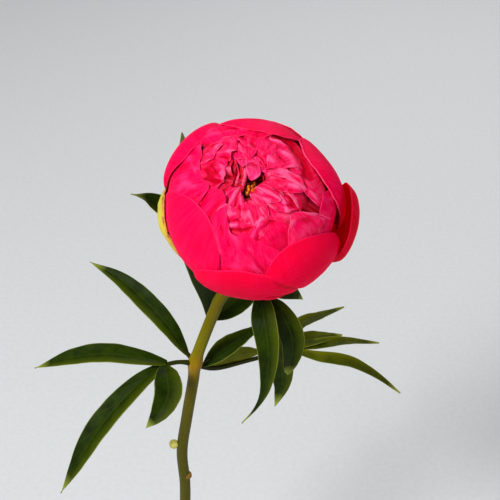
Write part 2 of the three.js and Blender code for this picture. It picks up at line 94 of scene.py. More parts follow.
def cloudy(vector, scale, detail, roughness=0.5, distortion=0.0, stretch=None):
    if stretch:
        vector = addNode('Mapping', {'Vector': vector, 'Scale': (*stretch, 1.0)}).outputs['Vector']
    return addNode('TexNoise', {'Vector': vector, 'Scale': scale, 'Detail': detail,
                                'Roughness': roughness, 'Distortion': distortion}).outputs['Fac']


def cells(vector, scale):
    return addNode('TexVoronoi', {'Vector': vector, 'Scale': scale}).outputs['Distance']


def ramp(share, *stops):
    node = addNode('ValToRGB', {'Fac': share})
    for i, (place, colour) in enumerate(stops):
        stop = node.color_ramp.elements[i] if i < 2 else node.color_ramp.elements.new(place)
        stop.position = place
        stop.color = linear(colour)
    return node.outputs['Color']


def blend(share, base, top, **settings):
    top = linear(top) if isinstance(top, str) else top
    return addNode('Mix', {0: share, 6: base, 7: top}, data_type='RGBA', **settings).outputs[2]


def remap(value, fromMin, fromMax, toMin=0.0, toMax=1.0, **settings):
    return addNode('MapRange', {'Value': value, 'From Min': fromMin, 'From Max': fromMax,
                                'To Min': toMin, 'To Max': toMax}, **settings).outputs['Result']


def calc(operation, *values):
    return addNode('Math', dict(enumerate(values)), operation=operation).outputs[0]


def relief(height, strength, distance, under=None, **settings):
    inputs = {'Height': height, 'Strength': strength, 'Distance': distance}
    if under:
        inputs['Normal'] = under
    return addNode('Bump', inputs, **settings).outputs['Normal']


def newMaterial(name):
    material = bpy.data.materials.new(name)
    material.use_nodes = True
    material.node_tree.nodes.clear()
    return material, material.node_tree


def finishMaterial(colour, roughness, specular, normal=None, ior=1.5, scatter=None, more=None):
    # scatter: how much light goes in, how far in red, green and blue, and the scale of that in metres
    inputs = {'Base Color': colour, 'Roughness': roughness, 'Specular IOR Level': specular, 'IOR': ior}
    if normal:
        inputs['Normal'] = normal
    if scatter:
        inputs.update(zip(('Subsurface Weight', 'Subsurface Radius', 'Subsurface Scale'), scatter))
    shader = addNode('BsdfPrincipled', {**inputs, **(more or {})})
    addNode('OutputMaterial', {'Surface': shader.outputs['BSDF']})


def grainMaterial(name, scale, detail, stops, roughness, specular, bump=None, ior=1.5, more=None):
    # one fine grain over the piece, in colour and in relief
    material, tree = newMaterial(name)
    grain = cloudy(objectPlace(tree), scale, detail)
    finishMaterial(ramp(grain, *stops), roughness, specular,
                   relief(grain, *bump) if bump else None, ior, more=more)
    return material


def curvePoints(knots, count):
    # evenly spaced points on a centripetal Catmull-Rom curve through the knots
    knots = [Vector((*k, 0)[:3]) for k in knots]
    knots = [2 * knots[0] - knots[1]] + knots + [2 * knots[-1] - knots[-2]]
    dense = []
    for a, b, c, d in zip(knots, knots[1:], knots[2:], knots[3:]):
        s1 = math.sqrt((b - a).length)
        s2 = s1 + math.sqrt((c - b).length)
        s3 = s2 + math.sqrt((d - c).length)
        for step in range(24):
            s = mix(s1, s2, step / 24)
            p1 = a.lerp(b, s / s1)
            p2 = b.lerp(c, (s - s1) / (s2 - s1))
            p3 = c.lerp(d, (s - s2) / (s3 - s2))
            q1 = p1.lerp(p2, s / s2)
            q2 = p2.lerp(p3, (s - s1) / (s3 - s1))
            dense.append(q1.lerp(q2, (s - s1) / (s2 - s1)))
    dense.append(knots[-2])
    lengths = [0.0]
    for a, b in zip(dense, dense[1:]):
        lengths.append(lengths[-1] + (b - a).length)
    points, k = [], 0
    for i in range(count):
        goal = lengths[-1] * i / (count - 1)
        while k < len(dense) - 2 and lengths[k + 1] < goal:
            k += 1
        span = lengths[k + 1] - lengths[k]
        points.append(dense[k].lerp(dense[k + 1], min(1.0, (goal - lengths[k]) / span if span else 0)))
    return points


def addPiece(name, points, faces, materials, node, uvs):
    # points in millimetres and one uv for each point
    mesh = bpy.data.meshes.new(name)
    mesh.from_pydata([p * mm for p in points], [], faces)
    layer = mesh.uv_layers.new(name='growth')
    for loop in mesh.loops:
        layer.data[loop.index].uv = uvs[loop.vertex_index]
    mesh.shade_smooth()
    for material in materials:
        mesh.materials.append(material)
    piece = bpy.data.objects.new(name, mesh)
    bpy.context.scene.collection.objects.link(piece)
    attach(piece, 'root')
    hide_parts(node)
    return piece


def gridFaces(rows, columns, start=0, closed=False):
    # quads over a grid of rows x columns points, closed round its columns if asked
    faces = []
    for i in range(rows - 1):
        for j in range(columns if closed else columns - 1):
            k = (j + 1) % columns
            faces.append((start + i * columns + j, start + i * columns + k,
                          start + (i + 1) * columns + k, start + (i + 1) * columns + j))
    return faces


def thicken(piece, thickness, rimShare, thinPoints):
    # gives a grown sheet its two faces. The second material is that of its inner or under side
    group = piece.vertex_groups.new(name='full')
    thin = set(thinPoints)
    group.add([v.index for v in piece.data.vertices if v.index not in thin], 1.0, 'REPLACE')
    solidify = piece.modifiers.new('thickness', 'SOLIDIFY')
    solidify.thickness = thickness * mm
    solidify.offset = 0
    solidify.use_even_offset = False
    solidify.vertex_group = 'full'
    solidify.thickness_vertex_group = rimShare
    solidify.material_offset = len(piece.data.materials) - 1


# camera, light and floor

view = {
    'target': Vector((44.5, -36.4, 396)),   # middle of the bloom
    'targetPixel': (254, 208),
    'elevation': 35,
    'distance': 500,
    'lens': 80,
    'sensor': 36,
    'pixels': 500,
}


def addCamera():
    tilt = math.radians(view['elevation'])
    toCamera = Vector((0, -math.cos(tilt), math.sin(tilt)))
    up = Vector((0, math.sin(tilt), math.cos(tilt)))
    pixel = view['distance'] * view['sensor'] / view['lens'] / view['pixels']   # mm at the bloom
    right = (view['targetPixel'][0] - view['pixels'] / 2) * pixel
    rise = (view['pixels'] / 2 - view['targetPixel'][1]) * pixel
    place = view['target'] + toCamera * view['distance'] - Vector((right, 0, 0)) - up * rise
    data = bpy.data.cameras.new('camera')
    data.lens = view['lens']
    data.sensor_width = view['sensor']
    data.clip_start = 0.01
    camera = bpy.data.objects.new('camera', data)
    camera.location = place * mm
    camera.rotation_euler = (math.pi / 2 - tilt, 0, 0)
    bpy.context.scene.collection.objects.link(camera)
    bpy.context.scene.camera = camera


softLights = {
    # place and aim in mm, size in mm, power in watts
    'key': {'place': (-850, -900, 1500), 'aim': (30, -30, 330), 'size': 560, 'power': 37},
    'fill': {'place': (1300, -900, 700), 'aim': (40, -30, 330), 'size': 1100, 'power': 7},
    'back': {'place': (500, 1300, 1200), 'aim': (40, 0, 300), 'size': 900, 'power': 10},
}
surroundings = {'colour': '#eef0f2', 'strength': 0.33}


def addLights():
    for name, light in softLights.items():
        data = bpy.data.lights.new(name, 'AREA')
        data.shape = 'DISK'
        data.size = light['size'] * mm
        data.energy = light['power']
        lamp = bpy.data.objects.new(name, data)
        lamp.location = Vector(light['place']) * mm
        aim = Vector(light['aim']) - Vector(light['place'])
        lamp.rotation_euler = aim.to_track_quat('-Z', 'Y').to_euler()
        bpy.context.scene.collection.objects.link(lamp)
    world = bpy.data.worlds.new('studio')
    world.use_nodes = True
    inputs = world.node_tree.nodes['Background'].inputs
    inputs['Color'].default_value = linear(surroundings['colour'])
    inputs['Strength'].default_value = surroundings['strength']
    bpy.context.scene.world = world
    bpy.context.scene.view_settings.view_transform = 'Standard'


def addFloor():
    # a matt painted board, pale grey, with a faint roller texture
    paint = grainMaterial('floorPaint', 260.0, 3.0, [(0.3, '#c6c8c9'), (0.7, '#cbcdce')], 0.85, 0.2,
                          (0.1, 0.0002))
    half = 5000
    mesh = bpy.data.meshes.new('floor')
    corners = [(-half, -half, 0), (half, -half, 0), (half, half, 0), (-half, half, 0)]
    mesh.from_pydata([Vector(c) * mm for c in corners], [], [(0, 1, 2, 3)])
    mesh.materials.append(paint)
    floor = bpy.data.objects.new('floor', mesh)
    bpy.context.scene.collection.objects.link(floor)


addCamera()
addLights()
addFloor()
print('camera, lights and floor ready')


# petal tissue: thin, water-filled and matt, with fine lengthwise veins and cross creases

petalTissue = {
    'veinSpacing': 1.1,      # mm. Real veins are 0.3 mm apart, drawn coarser so that they show
    'creaseSpacing': 2.6,    # mm between the fine creases across the petal
    'typicalSize': 55,       # mm, length and width of a petal
}


def petalMaterial(name, root, body, edge, rim, paintedValleyShade, veinShare, creaseDepth):
    material, tree = newMaterial(name)
    size = petalTissue['typicalSize']
    growth = growthPlace(tree)
    veins = cloudy(growth, 1.0, 3.0, 0.6, 0.3, stretch=(size / petalTissue['veinSpacing'], 3.5))
    creases = cloudy(growth, 1.0, 4.0, 0.55, 0.8, stretch=(7.0, size / petalTissue['creaseSpacing']))
    cloud = cloudy(objectPlace(tree), 70.0, 2.0)
    # from root to rim: deep at the base, full colour over the blade, and a paler thin margin, partly the
    # petal's own paler edge and partly a painted highlight on it
    colour = ramp(split(growth)['Y'], (0.0, root), (0.45, body), (0.985, body), (1.0, edge))
    colour = blend(remap(veins, 0.42, 0.68, 0, veinShare), colour, rim)
    # the crests of the folds get a painted highlight in the rim colour, and their valleys a painted shade in
    # the valley colour
    fold = addNode('Attribute', {}, tree, attribute_name='fold').outputs['Fac']
    crest = remap(fold, 0.2, 1.2, 0, 0.75, interpolation_type='SMOOTHSTEP')
    colour = blend(crest, colour, rim)
    # painted shade: the valley colour where the fold attribute is low
    low = remap(fold, -1.1, -0.15, 0.9, 0, interpolation_type='SMOOTHSTEP')
    colour = blend(low, colour, paintedValleyShade)
    colour = blend(remap(cloud, 0.4, 0.75, 0, 0.2), colour, root)
    finishMaterial(colour, remap(creases, 0, 1, 0.68, 0.5), 0.03,
                   relief(creases, creaseDepth, 0.0007, relief(veins, 0.35, 0.00025)), 1.4,
                   (0.45, (1.0, 0.12, 0.2), 0.0022))
    return material


# outer petals are sun-coloured crimson, those further in are paler, and the eye is deep
# the fifth colour of each look is the painted shade in the valleys of its folds, and the fourth is also the
# painted highlight on their crests
guardFace = petalMaterial('petalGuard', '#cc0018', '#f60034', '#fb1c58', '#fb1054', '#c8001c', 0.25, 0.6)
# a bluer copy of the guard colour: painted light for the upper petals, which face the sky
litGuardFace = petalMaterial('petalGuardPaintedLight', '#c80024', '#f40040', '#fc2060', '#ff2468', '#cc0028', 0.25, 0.6)
sideFace = petalMaterial('petalSide', '#c40020', '#fb0048', '#ff1860', '#ff3478', '#c00024', 0.3, 0.5)
innerFace = petalMaterial('petalInner', '#c00018', '#fb0450', '#ff5088', '#ff6094', '#b8001c', 0.25, 0.6)
heartFace = petalMaterial('petalHeart', '#98000c', '#c80020', '#f0386c', '#fc6090', '#90000c', 0.3, 0.6)
# a darker copy of the guard colour: painted shade for the far right petal, which stands in shadow
shadedFarFace = petalMaterial('petalFarPaintedShade', '#a80010', '#cc0020', '#dc0838', '#f02050', '#a00014', 0.2, 0.35)
backFace = petalMaterial('petalBack', '#e86850', '#f8205c', '#fa2c68', '#ff5c90', '#c80430', 0.3, 0.5)
paleFace = petalMaterial('petalPale', '#c80c40', '#fc2068', '#ff4888', '#ff78a8', '#bc0838', 0.3, 0.5)
print('petal tissue ready')


# the bloom: petals on shells round its axis, each shell a little further in

bloomShape = {
    'centre': Vector((44.5, -36.4, 396)),
    'axis': Vector((-0.11, -0.552, 0.826)).normalized(),
    'radius': 40.5,
    'halfHeight': 36.5,
    'eyeDent': 5.0,
    'eyeDentWidth': 17.0,
    'full': ((2.2, 118, 40), (-2.3, 38, 26)),   # how much, angle round, width
    'shellSpacing': 1.0,
    'petalThickness': 0.36,
    'rimShare': 0.4,
    # the foot of a petal dives in under the others over this share of its length, by mm and degrees
    'rootZone': 0.06,
    'rootDive': 2.2,
    'rootTurn': 6,
    'degree': 0.68,          # mm on the bloom for one degree from its opening
    # mm across and along the petal from one ripple to the next
    'ragged': 4.2,
    'finelyRagged': 1.5,
    'soft': (9, 26),
    'pleats': (7.5, 17),
    'finePleats': (3.4, 7),
    'creases': (7, 1.9),
    'fineCreases': (3, 1.1),
    'ruffles': (2.6, 9),
}
centre, axis = bloomShape['centre'], bloomShape['axis']
bloomRight = (Vector((1, 0, 0)) - axis * axis.x).normalized()
bloomBack = axis.cross(bloomRight)

# What a petal has unless it says otherwise. Its shell and rootShell say how far inside the bloom's outline
# its rim and its root lie. It stands off by flare towards the rim, by belly midway and by lip at the rim,
# press lowers the rim, hug lowers its two sides, and tilt raises the side with the higher angles.
petalUsual = dict(
    flare=0, belly=0, bellyRise=1, lip=0, press=0, hug=0, tilt=0, rootDrop=0,
    swell=0.35, crinkle=0.06, crumple=0, ruffle=0.2, notch=0.5, slant=0.3,
    curl=(1, 0),      # radius in mm and turn in degrees of the rolled margin
    folds=(),
    rows=46, spacing=0.95,      # mm between the columns of points
)


def onBloomAxis(height, out=0.0, around=0.0):
    turn = math.radians(around)
    return centre + axis * height + bloomRight * (out * math.cos(turn)) + bloomBack * (out * math.sin(turn))


def bloomPoint(fromEye, around, offset):
    # fromEye is the angle from the opening, around is 0 at the right and 90 at the back
    down = math.radians(fromEye)
    reach = 1 / math.hypot(math.sin(down) / bloomShape['radius'], math.cos(down) / bloomShape['halfHeight'])
    dent = bloomShape['eyeDent'] * math.exp(-(fromEye / bloomShape['eyeDentWidth']) ** 2)
    fullness = 0
    for much, middle, width in bloomShape['full']:
        away = (around - middle + 180) % 360 - 180
        fullness += much * math.exp(-(away / width) ** 2)
    out = reach - dent + fullness * math.sin(down) + offset
    return onBloomAxis(out * math.cos(down), out * math.sin(down), around)


def ripple(x, y, seed):
    return noise.noise(Vector((x, y, seed * 7.31)))


def facets(x, y, seed):
    # creased tissue: sharp lines between flat facets, about -1 to 1
    return 1.6 * (abs(ripple(x, y, seed)) - abs(ripple(x * 1.1, y * 0.9, seed + 0.5)))


def waves(kind, x, y, seed, pattern=ripple):
    across, along = bloomShape[kind]
    return pattern(x / across, y / along, seed)


def foldAt(folds, around, fromEye):
    # height in mm of the folds pressed into the petal here. Each is (width, height, knots along its crest)
    def flat(turned, down):
        return Vector((down * math.cos(math.radians(turned)), down * math.sin(math.radians(turned)))) \
            * bloomShape['degree']
    height, here = 0, flat(around, fromEye)
    for width, much, *knots in folds:
        nearest = width
        crest = [flat(*knot) for knot in knots]
        for a, b in zip(crest, crest[1:]):
            share = min(1, max(0, (here - a).dot(b - a) / max((b - a).length_squared, 1e-6)))
            nearest = min(nearest, (here - a.lerp(b, share)).length)
        height += much * (1 - nearest / width) ** 1.3
    return height


def addPetal(name, petal, front, back):
    # rim: the free edge as (angle round, angle from the eye), knots in order round the axis
    shape, p = bloomShape, SimpleNamespace(**{**petalUsual, **petal})
    rim, root, seed = p.rim, p.root, p.seed
    rootShell = petal.get('rootShell', p.shell + p.rootDrop)
    curlRadius, curlTurn = p.curl
    tip = sum(fromEye for around, fromEye in rim) / len(rim)
    width = math.radians(rim[-1][0] - rim[0][0]) * shape['radius'] * math.sin(math.radians(min(90, tip + 8)))
    length = math.radians(abs(root - tip)) * shape['radius']
    outwards = root < tip    # a petal that is rooted at the eye and folded out over the others
    way = -1 if outwards else 1
    columns = max(16, round(width / p.spacing))
    curlRows = 9 if curlTurn else 0
    edge = curvePoints(rim, columns)
    points, uvs, folds = [], [], []
    for i in range(p.rows + curlRows):
        step = min(1, i / (p.rows - 1))
        up = 1 - (1 - step) ** 1.6     # rows crowd towards the rim
        below = max(0.0, 1 - up / shape['rootZone'])
        curl = math.radians(curlTurn) * max(0, i - p.rows + 1) / max(1, curlRows)
        for j in range(columns):
            across = j / (columns - 1)
            x, y = across * width, up * length
            ragged = p.notch * (ripple(x / shape['ragged'], 0.5, seed)
                                + 0.4 * ripple(x / shape['finelyRagged'], 4.5, seed))
            rimAngle = edge[j].y + ragged * way * smooth(up, 0.6, 1)
            fromEye = mix(root - shape['rootTurn'] * (1 - below) * (1 if way > 0 else -0.5), rimAngle, up)
            level = mix(rim[0][0], rim[-1][0], mix(0.08, 0.92, across))
            around = mix(level, edge[j].x, smooth(up, 0, 0.5))
            grown = smooth(up, 0, 0.7)
            soft = waves('soft', x, y, seed + 1)
            # pleats run up the petal and slant a little, and crumples cross them
            slant = x + p.slant * y
            sharp = (waves('pleats', slant, y, seed + 2, facets)
                     + 0.35 * waves('finePleats', slant, y, seed + 3, facets))
            creases = waves('creases', x, y, seed + 4) + 0.6 * waves('fineCreases', x, y, seed + 5)
            ruffle = waves('ruffles', x, y, seed + 6) * smooth(up, 0.72, 1)
            laid = foldAt(p.folds, around, fromEye)
            offset = laid + (p.swell * soft + p.crumple * sharp) * grown
            offset += p.crinkle * creases + 2 * p.ruffle * ruffle
            stand = (p.flare * up ** 3 + p.belly * math.sin(math.pi * up ** p.bellyRise)
                     + p.lip * smooth(up, 0.8, 1) ** 2)
            side = 2 * across - 1
            offset += stand * (1 - p.hug * abs(side) ** 3) + p.tilt * side * up * up
            offset -= p.press * smooth(up, 0.8, 1)
            inside = mix(rootShell, p.shell, smooth(up, 0, 0.8)) * shape['shellSpacing']
            offset -= inside + shape['rootDive'] * below
            # the rolled margin: outwards with a positive radius
            fromEye -= way * math.degrees(abs(curlRadius) * math.sin(curl) / shape['radius'])
            offset += curlRadius * (1 - math.cos(curl))
            points.append(bloomPoint(max(fromEye, 2), around, offset))
            uvs.append((x / petalTissue['typicalSize'], up * 0.95 + 0.05 * curl / 3 if curlRows else up))
            # painted light for the materials: a highlight on the crests of the pleats, ruffles and swells and
            # a shade in their hollows; the laid folds add to it strongly, raised ones as highlight and sunk
            # ones as shade
            paintedFoldLight = 1.1 * sharp * min(1, p.crumple * 1.4) + 0.8 * ruffle * p.ruffle + 0.7 * soft
            folds.append(grown * paintedFoldLight + 1.7 * laid)
    rows = p.rows + curlRows
    grid = gridFaces(rows, columns)
    if outwards:
        grid = [face[::-1] for face in grid]
    looks = [petal.get('front', front), petal.get('back', back)]
    piece = addPiece(name, points, grid, looks, 'bloom', uvs)
    # the fold attribute carries that painted highlight and shade to the petal materials
    piece.data.attributes.new('fold', 'FLOAT', 'POINT').data.foreach_set('value', folds)
    thicken(piece, shape['petalThickness'], shape['rimShare'], range((rows - 2) * columns, rows * columns))


# the upper and left guard petals take the painted-light copy of the guard colour
guardPetals = {
    'guard_bottom': dict(shell=-0.3, root=148, seed=1, belly=0.9, hug=0.6, press=0.4, tilt=0.8,
        rim=[(226, 106), (229, 86), (239, 74), (249, 69), (259, 66.5), (269, 67), (278, 70), (286, 77),
             (292, 87), (297, 98), (300, 114)]),
    'guard_upper_left': dict(shell=0, root=118, seed=2, belly=2.6, hug=1.2, tilt=1.1, press=1.2,
        front=litGuardFace,
        rim=[(106, 96), (110, 78), (115, 65), (123, 57), (132, 53), (142, 53), (151, 56), (158, 63),
             (163, 77), (165, 98)]),
    # its outer face has the painted-shade copy of the guard colour, and its inner face the guard crimson in
    # place of the paler back colour, also painted shade
    'guard_far_right': dict(shell=0, root=140, seed=3, flare=4.8, belly=5.1, bellyRise=1.7, hug=1, tilt=1.3,
        front=shadedFarFace, back=guardFace,
        rim=[(-33, 112), (-31, 98), (-28, 91), (-23, 87), (-18, 84), (-10, 80), (-3, 77), (2, 76.5), (6, 79),
             (9, 82), (12, 85), (14, 92)]),
    'guard_top': dict(shell=1, root=114, seed=4, curl=(0.4, 70), press=0.3, front=litGuardFace,
        rim=[(40, 86), (46, 66), (54, 51), (64, 44), (76, 41), (90, 42), (99, 46), (108, 56), (113, 72),
             (116, 90)]),
    'guard_top_right': dict(shell=1.8, root=112, seed=5, belly=2.8, hug=1, curl=(0.6, 110), front=litGuardFace,
        rim=[(-13, 102), (-8, 86), (-4, 74), (2, 64), (9, 58), (19, 54), (31, 54), (42, 59.5), (51, 67),
             (57, 84)]),
    'guard_left': dict(shell=1, root=142, seed=6, press=0.25, front=litGuardFace,
        rim=[(162, 106), (168, 86), (174, 72), (179, 58), (187, 48), (198, 41), (212, 38), (227, 39),
             (239, 46), (246, 56), (248, 68), (248, 82), (246, 96)]),
    'guard_lower_right': dict(shell=1, root=132, seed=7, belly=3.4, hug=0.7, press=0.5,
        rim=[(272, 94), (277, 78), (282, 68), (289, 61), (302, 57), (315, 60), (326, 68), (335, 80),
             (341, 98)],
        folds=[(9, -2.8, (268, 82), (280, 86), (290, 96), (296, 110))]),
    'back_right': dict(shell=-1, root=150, seed=8,
        rim=[(40, 108), (49, 94), (60, 85), (75, 83), (92, 92), (100, 108)]),
    'back_left': dict(shell=-1, root=150, seed=9, flare=1.8, front=litGuardFace,
        rim=[(106, 112), (114, 98), (128, 92), (144, 97), (153, 112)]),
    'low_left': dict(shell=-1, root=148, seed=10, front=litGuardFace,
        rim=[(159, 122), (166, 106), (178, 99), (194, 104), (204, 122)]),
    'low_right': dict(shell=-1, root=152, seed=11,
        rim=[(284, 134), (300, 119), (318, 117), (334, 130)]),
}

sidePetals = {
    'side_top': dict(shell=1.8, root=84, seed=21, curl=(0.3, 80), tilt=0.5, press=0.5,
        rim=[(56, 64), (64, 47), (76, 38), (93, 37), (106, 38), (117, 39), (128, 41), (136, 50), (144, 62),
             (150, 70)],
        folds=[(2.4, 0.5, (128, 52), (112, 44), (92, 43)), (1.8, -0.4, (120, 56), (100, 48))]),
    'side_left': dict(shell=2, rootShell=1.4, root=86, seed=22,
        rim=[(126, 68), (134, 50), (146, 40), (160, 36), (172, 33), (187, 28), (197, 30), (203, 40),
             (208, 56)],
        folds=[(3, 0.5, (150, 52), (172, 36)), (1.6, -0.6, (196, 36), (202, 46)), (3, 0.4, (176, 46),
               (190, 34))]),
    'side_low_left': dict(shell=2.2, rootShell=1.9, root=86, seed=23, press=0.4,
        rim=[(190, 48), (192, 32), (198, 22), (212, 20), (226, 22), (237, 27), (247, 35), (253, 41),
             (263, 44), (271, 54), (280, 72)],
        folds=[(2.5, 0.5, (208, 26), (214, 38)), (1.8, -0.5, (218, 24), (224, 40)), (2.6, 0.5, (232, 44),
               (246, 56)), (1.6, -0.5, (240, 40), (258, 56))]),
    'side_right': dict(shell=2.8, root=90, seed=24, lip=0.5,
        rim=[(321, 84), (327, 69), (334, 62), (343, 59), (354, 60), (361, 67), (368, 80)]),
    # its paler inner colour is painted light on a side petal that lies in shade
    'side_rounded': dict(shell=2.1, root=76, seed=25, lip=0.4, tilt=0.9, crumple=0.4, front=innerFace,
        rim=[(298, 66), (306, 51), (313, 45), (320, 42), (328, 46), (334, 53), (337, 60), (340, 70)],
        folds=[(2.6, 0.6, (315, 46), (326, 47), (335, 55))]),
    'side_front': dict(shell=2.1, rootShell=1.7, root=84, seed=27, crumple=0.3, swell=0.3,
        rim=[(248, 62), (256, 49), (262, 42), (267, 40), (275, 45), (284, 50), (296, 60), (304, 72)],
        folds=[(2.6, 0.5, (271, 51), (281, 57), (288, 66)), (1.8, -0.5, (264, 48), (273, 58), (279, 70))]),
    'side_low': dict(shell=3.2, root=72, seed=26, curl=(0.4, 90), crumple=0.4, swell=0.4,
        rim=[(250, 64), (258, 51), (267, 45), (276, 39), (284, 36), (292, 35), (300, 37), (309, 43),
             (318, 54), (326, 66)],
        folds=[(2.2, 0.7, (272, 46), (279, 39), (288, 36)), (2.4, -0.8, (302, 37), (288, 42), (279, 47)),
               (2.2, 0.3, (288, 47), (302, 45), (310, 46))]),
}

innerPetals = {
    'inner_right': dict(shell=3.3, rootShell=2.8, root=70, seed=31, slant=-0.7, press=0.2,
        rim=[(-16, 58), (-10, 44), (-2, 30), (8, 21), (20, 20), (34, 20), (48, 24), (58, 31), (66, 42),
             (73, 56)],
        folds=[(1.6, -0.9, (74, 34), (60, 33), (45, 34), (29, 34), (14, 34)), (1.3, -0.6, (14, 34), (9, 39)),
               (3, 0.5, (50, 25), (32, 25), (17, 27), (2, 29)), (3, 0.5, (48, 38), (28, 40), (16, 40)),
               (2.4, 0.5, (10, 31), (0, 33), (-12, 37)), (1.8, -0.7, (7, 43), (-4, 46), (-14, 48)),
               (4.5, -1.8, (63, 51), (55, 54), (46, 54), (34, 50), (21, 49), (10, 49)), (1.6, 0.6, (77, 40),
               (62, 42), (49, 46)), (1.2, -0.6, (62, 38), (51, 43))]),
    'inner_top': dict(shell=2.8, root=56, seed=34, curl=(0.4, 100), crumple=0.8, notch=1,
        rim=[(16, 34), (26, 20), (44, 21), (58, 23.5), (75, 26), (92, 28), (103, 34), (111, 38), (121, 34),
             (136, 32), (150, 33), (160, 44)],
        folds=[(2.2, -1.2, (115, 36), (116, 28)), (1.6, 0.6, (108, 30), (99, 26)), (2, -0.5, (60, 28),
               (84, 30))]),
    'inner_second': dict(shell=3.8, root=50, seed=35, curl=(0.35, 90), crumple=0.6, notch=0.9,
        rim=[(66, 32), (78, 21), (92, 22), (105, 26), (118, 26), (131, 29), (146, 33), (156, 42)]),
    'inner_left': dict(shell=3.2, rootShell=2.5, root=48, seed=32, curl=(0.35, 90),
        rim=[(98, 38), (107, 26), (119, 23), (134, 20), (154, 18), (172, 17), (186, 19), (198, 25),
             (206, 35)],
        folds=[(1.6, 0.6, (136, 33), (126, 28), (108, 24)), (1.2, -0.6, (134, 28), (112, 20)),
               (3, 0.7, (141, 27), (152, 20), (171, 17)), (1.6, -0.7, (152, 30), (170, 21)),
               (3, -1.1, (160, 32), (172, 27)), (1.6, -1.6, (174, 31), (177, 26), (180, 21))]),
    'inner_low': dict(shell=3.9, rootShell=3.8, root=56, crumple=0.8, seed=33, curl=(0.3, 80), tilt=-0.6,
        rim=[(224, 42), (230, 27), (246, 25), (263, 22), (280, 22), (298, 25), (314, 29), (324, 40)],
        folds=[(2.4, 0.6, (241, 30), (268, 28)), (1.5, -0.9, (244, 36), (264, 32), (285, 32)),
               (2.2, 0.7, (250, 37), (274, 34)), (1.5, -0.9, (250, 40), (265, 40), (275, 38)),
               (2.2, 1, (288, 34), (279, 39), (272, 45)), (2.2, -0.9, (295, 38), (285, 41), (277, 45))]),
    'inner_mid': dict(shell=3.9, root=62, seed=36, crumple=0.8,
        rim=[(262, 56), (270, 44), (284, 36), (298, 32), (311, 31), (322, 33), (330, 44), (334, 56)],
        folds=[(2, 0.5, (306, 40), (316, 34)), (1.6, -0.5, (298, 34), (304, 42))]),
    'crumpled_low': dict(shell=4.5, rootShell=6, root=48, seed=41,
        rim=[(240, 34), (250, 22), (266, 19), (282, 20), (298, 22), (312, 34)]),
    'crumpled_right': dict(shell=4.2, rootShell=5.4, root=56, seed=42,
        rim=[(-30, 46), (-22, 34), (-10, 24), (2, 18), (16, 19), (28, 23), (38, 36)]),
    'crumpled_top': dict(shell=4.4, root=44, seed=43, curl=(0.35, 90), crumple=0.6, notch=0.8,
        rim=[(4, 30), (14, 17), (30, 19), (46, 20), (64, 20), (84, 19), (100, 19), (112, 20), (120, 30)],
        folds=[(2.6, -1.8, (78, 24), (66, 22), (56, 21.5))]),
    # folded outwards from the eye
    'folded_low_right': dict(shell=3.6, rootShell=6.2, root=6, seed=44, lip=0.2, tilt=0.5,
        rim=[(282, 15), (290, 20), (302, 25), (315, 27), (326, 30), (334, 25), (344, 14)],
        folds=[(1.2, 0.8, (332, 10), (326, 20), (326, 30)), (1, -0.7, (318, 14), (321, 22), (324, 29)),
               (2, 0.6, (298, 14), (306, 20), (315, 25))]),
    'folded_mid': dict(shell=3.4, rootShell=5.5, root=12, seed=47, lip=0.2,
        rim=[(326, 22), (334, 28), (345, 31), (356, 29), (364, 20)]),
    'folded_right': dict(shell=3, rootShell=5, root=18, seed=45, lip=0.2,
        rim=[(338, 27), (343, 38), (350, 44), (359, 43), (367, 35), (373, 25)],
        folds=[(2.4, 0.7, (352, 26), (352, 40)), (1.2, -0.7, (343, 26), (346, 38)), (1.4, -0.6, (361, 26),
               (360, 40))]),
    'folded_side': dict(shell=2.9, rootShell=4.6, root=22, seed=46, lip=0.3,
        rim=[(307, 27), (315, 36), (323, 42), (333, 46), (341, 43), (346, 31)],
        folds=[(1.6, 0.8, (334, 28), (326, 34), (320, 38)), (1.2, -0.7, (324, 35), (333, 44)),
               (1.2, 0.6, (320, 38), (329, 44)), (1.4, -0.6, (338, 30), (336, 42))]),
    'folded_low': dict(shell=3.6, rootShell=4.8, root=20, seed=48, lip=0.1,
        rim=[(262, 26), (270, 34), (284, 38), (298, 35), (306, 25)],
        folds=[(1.4, 0.7, (274, 26), (278, 36)), (1.2, -0.7, (284, 26), (288, 36)), (1.4, 0.6, (294, 26),
               (296, 34))]),
}

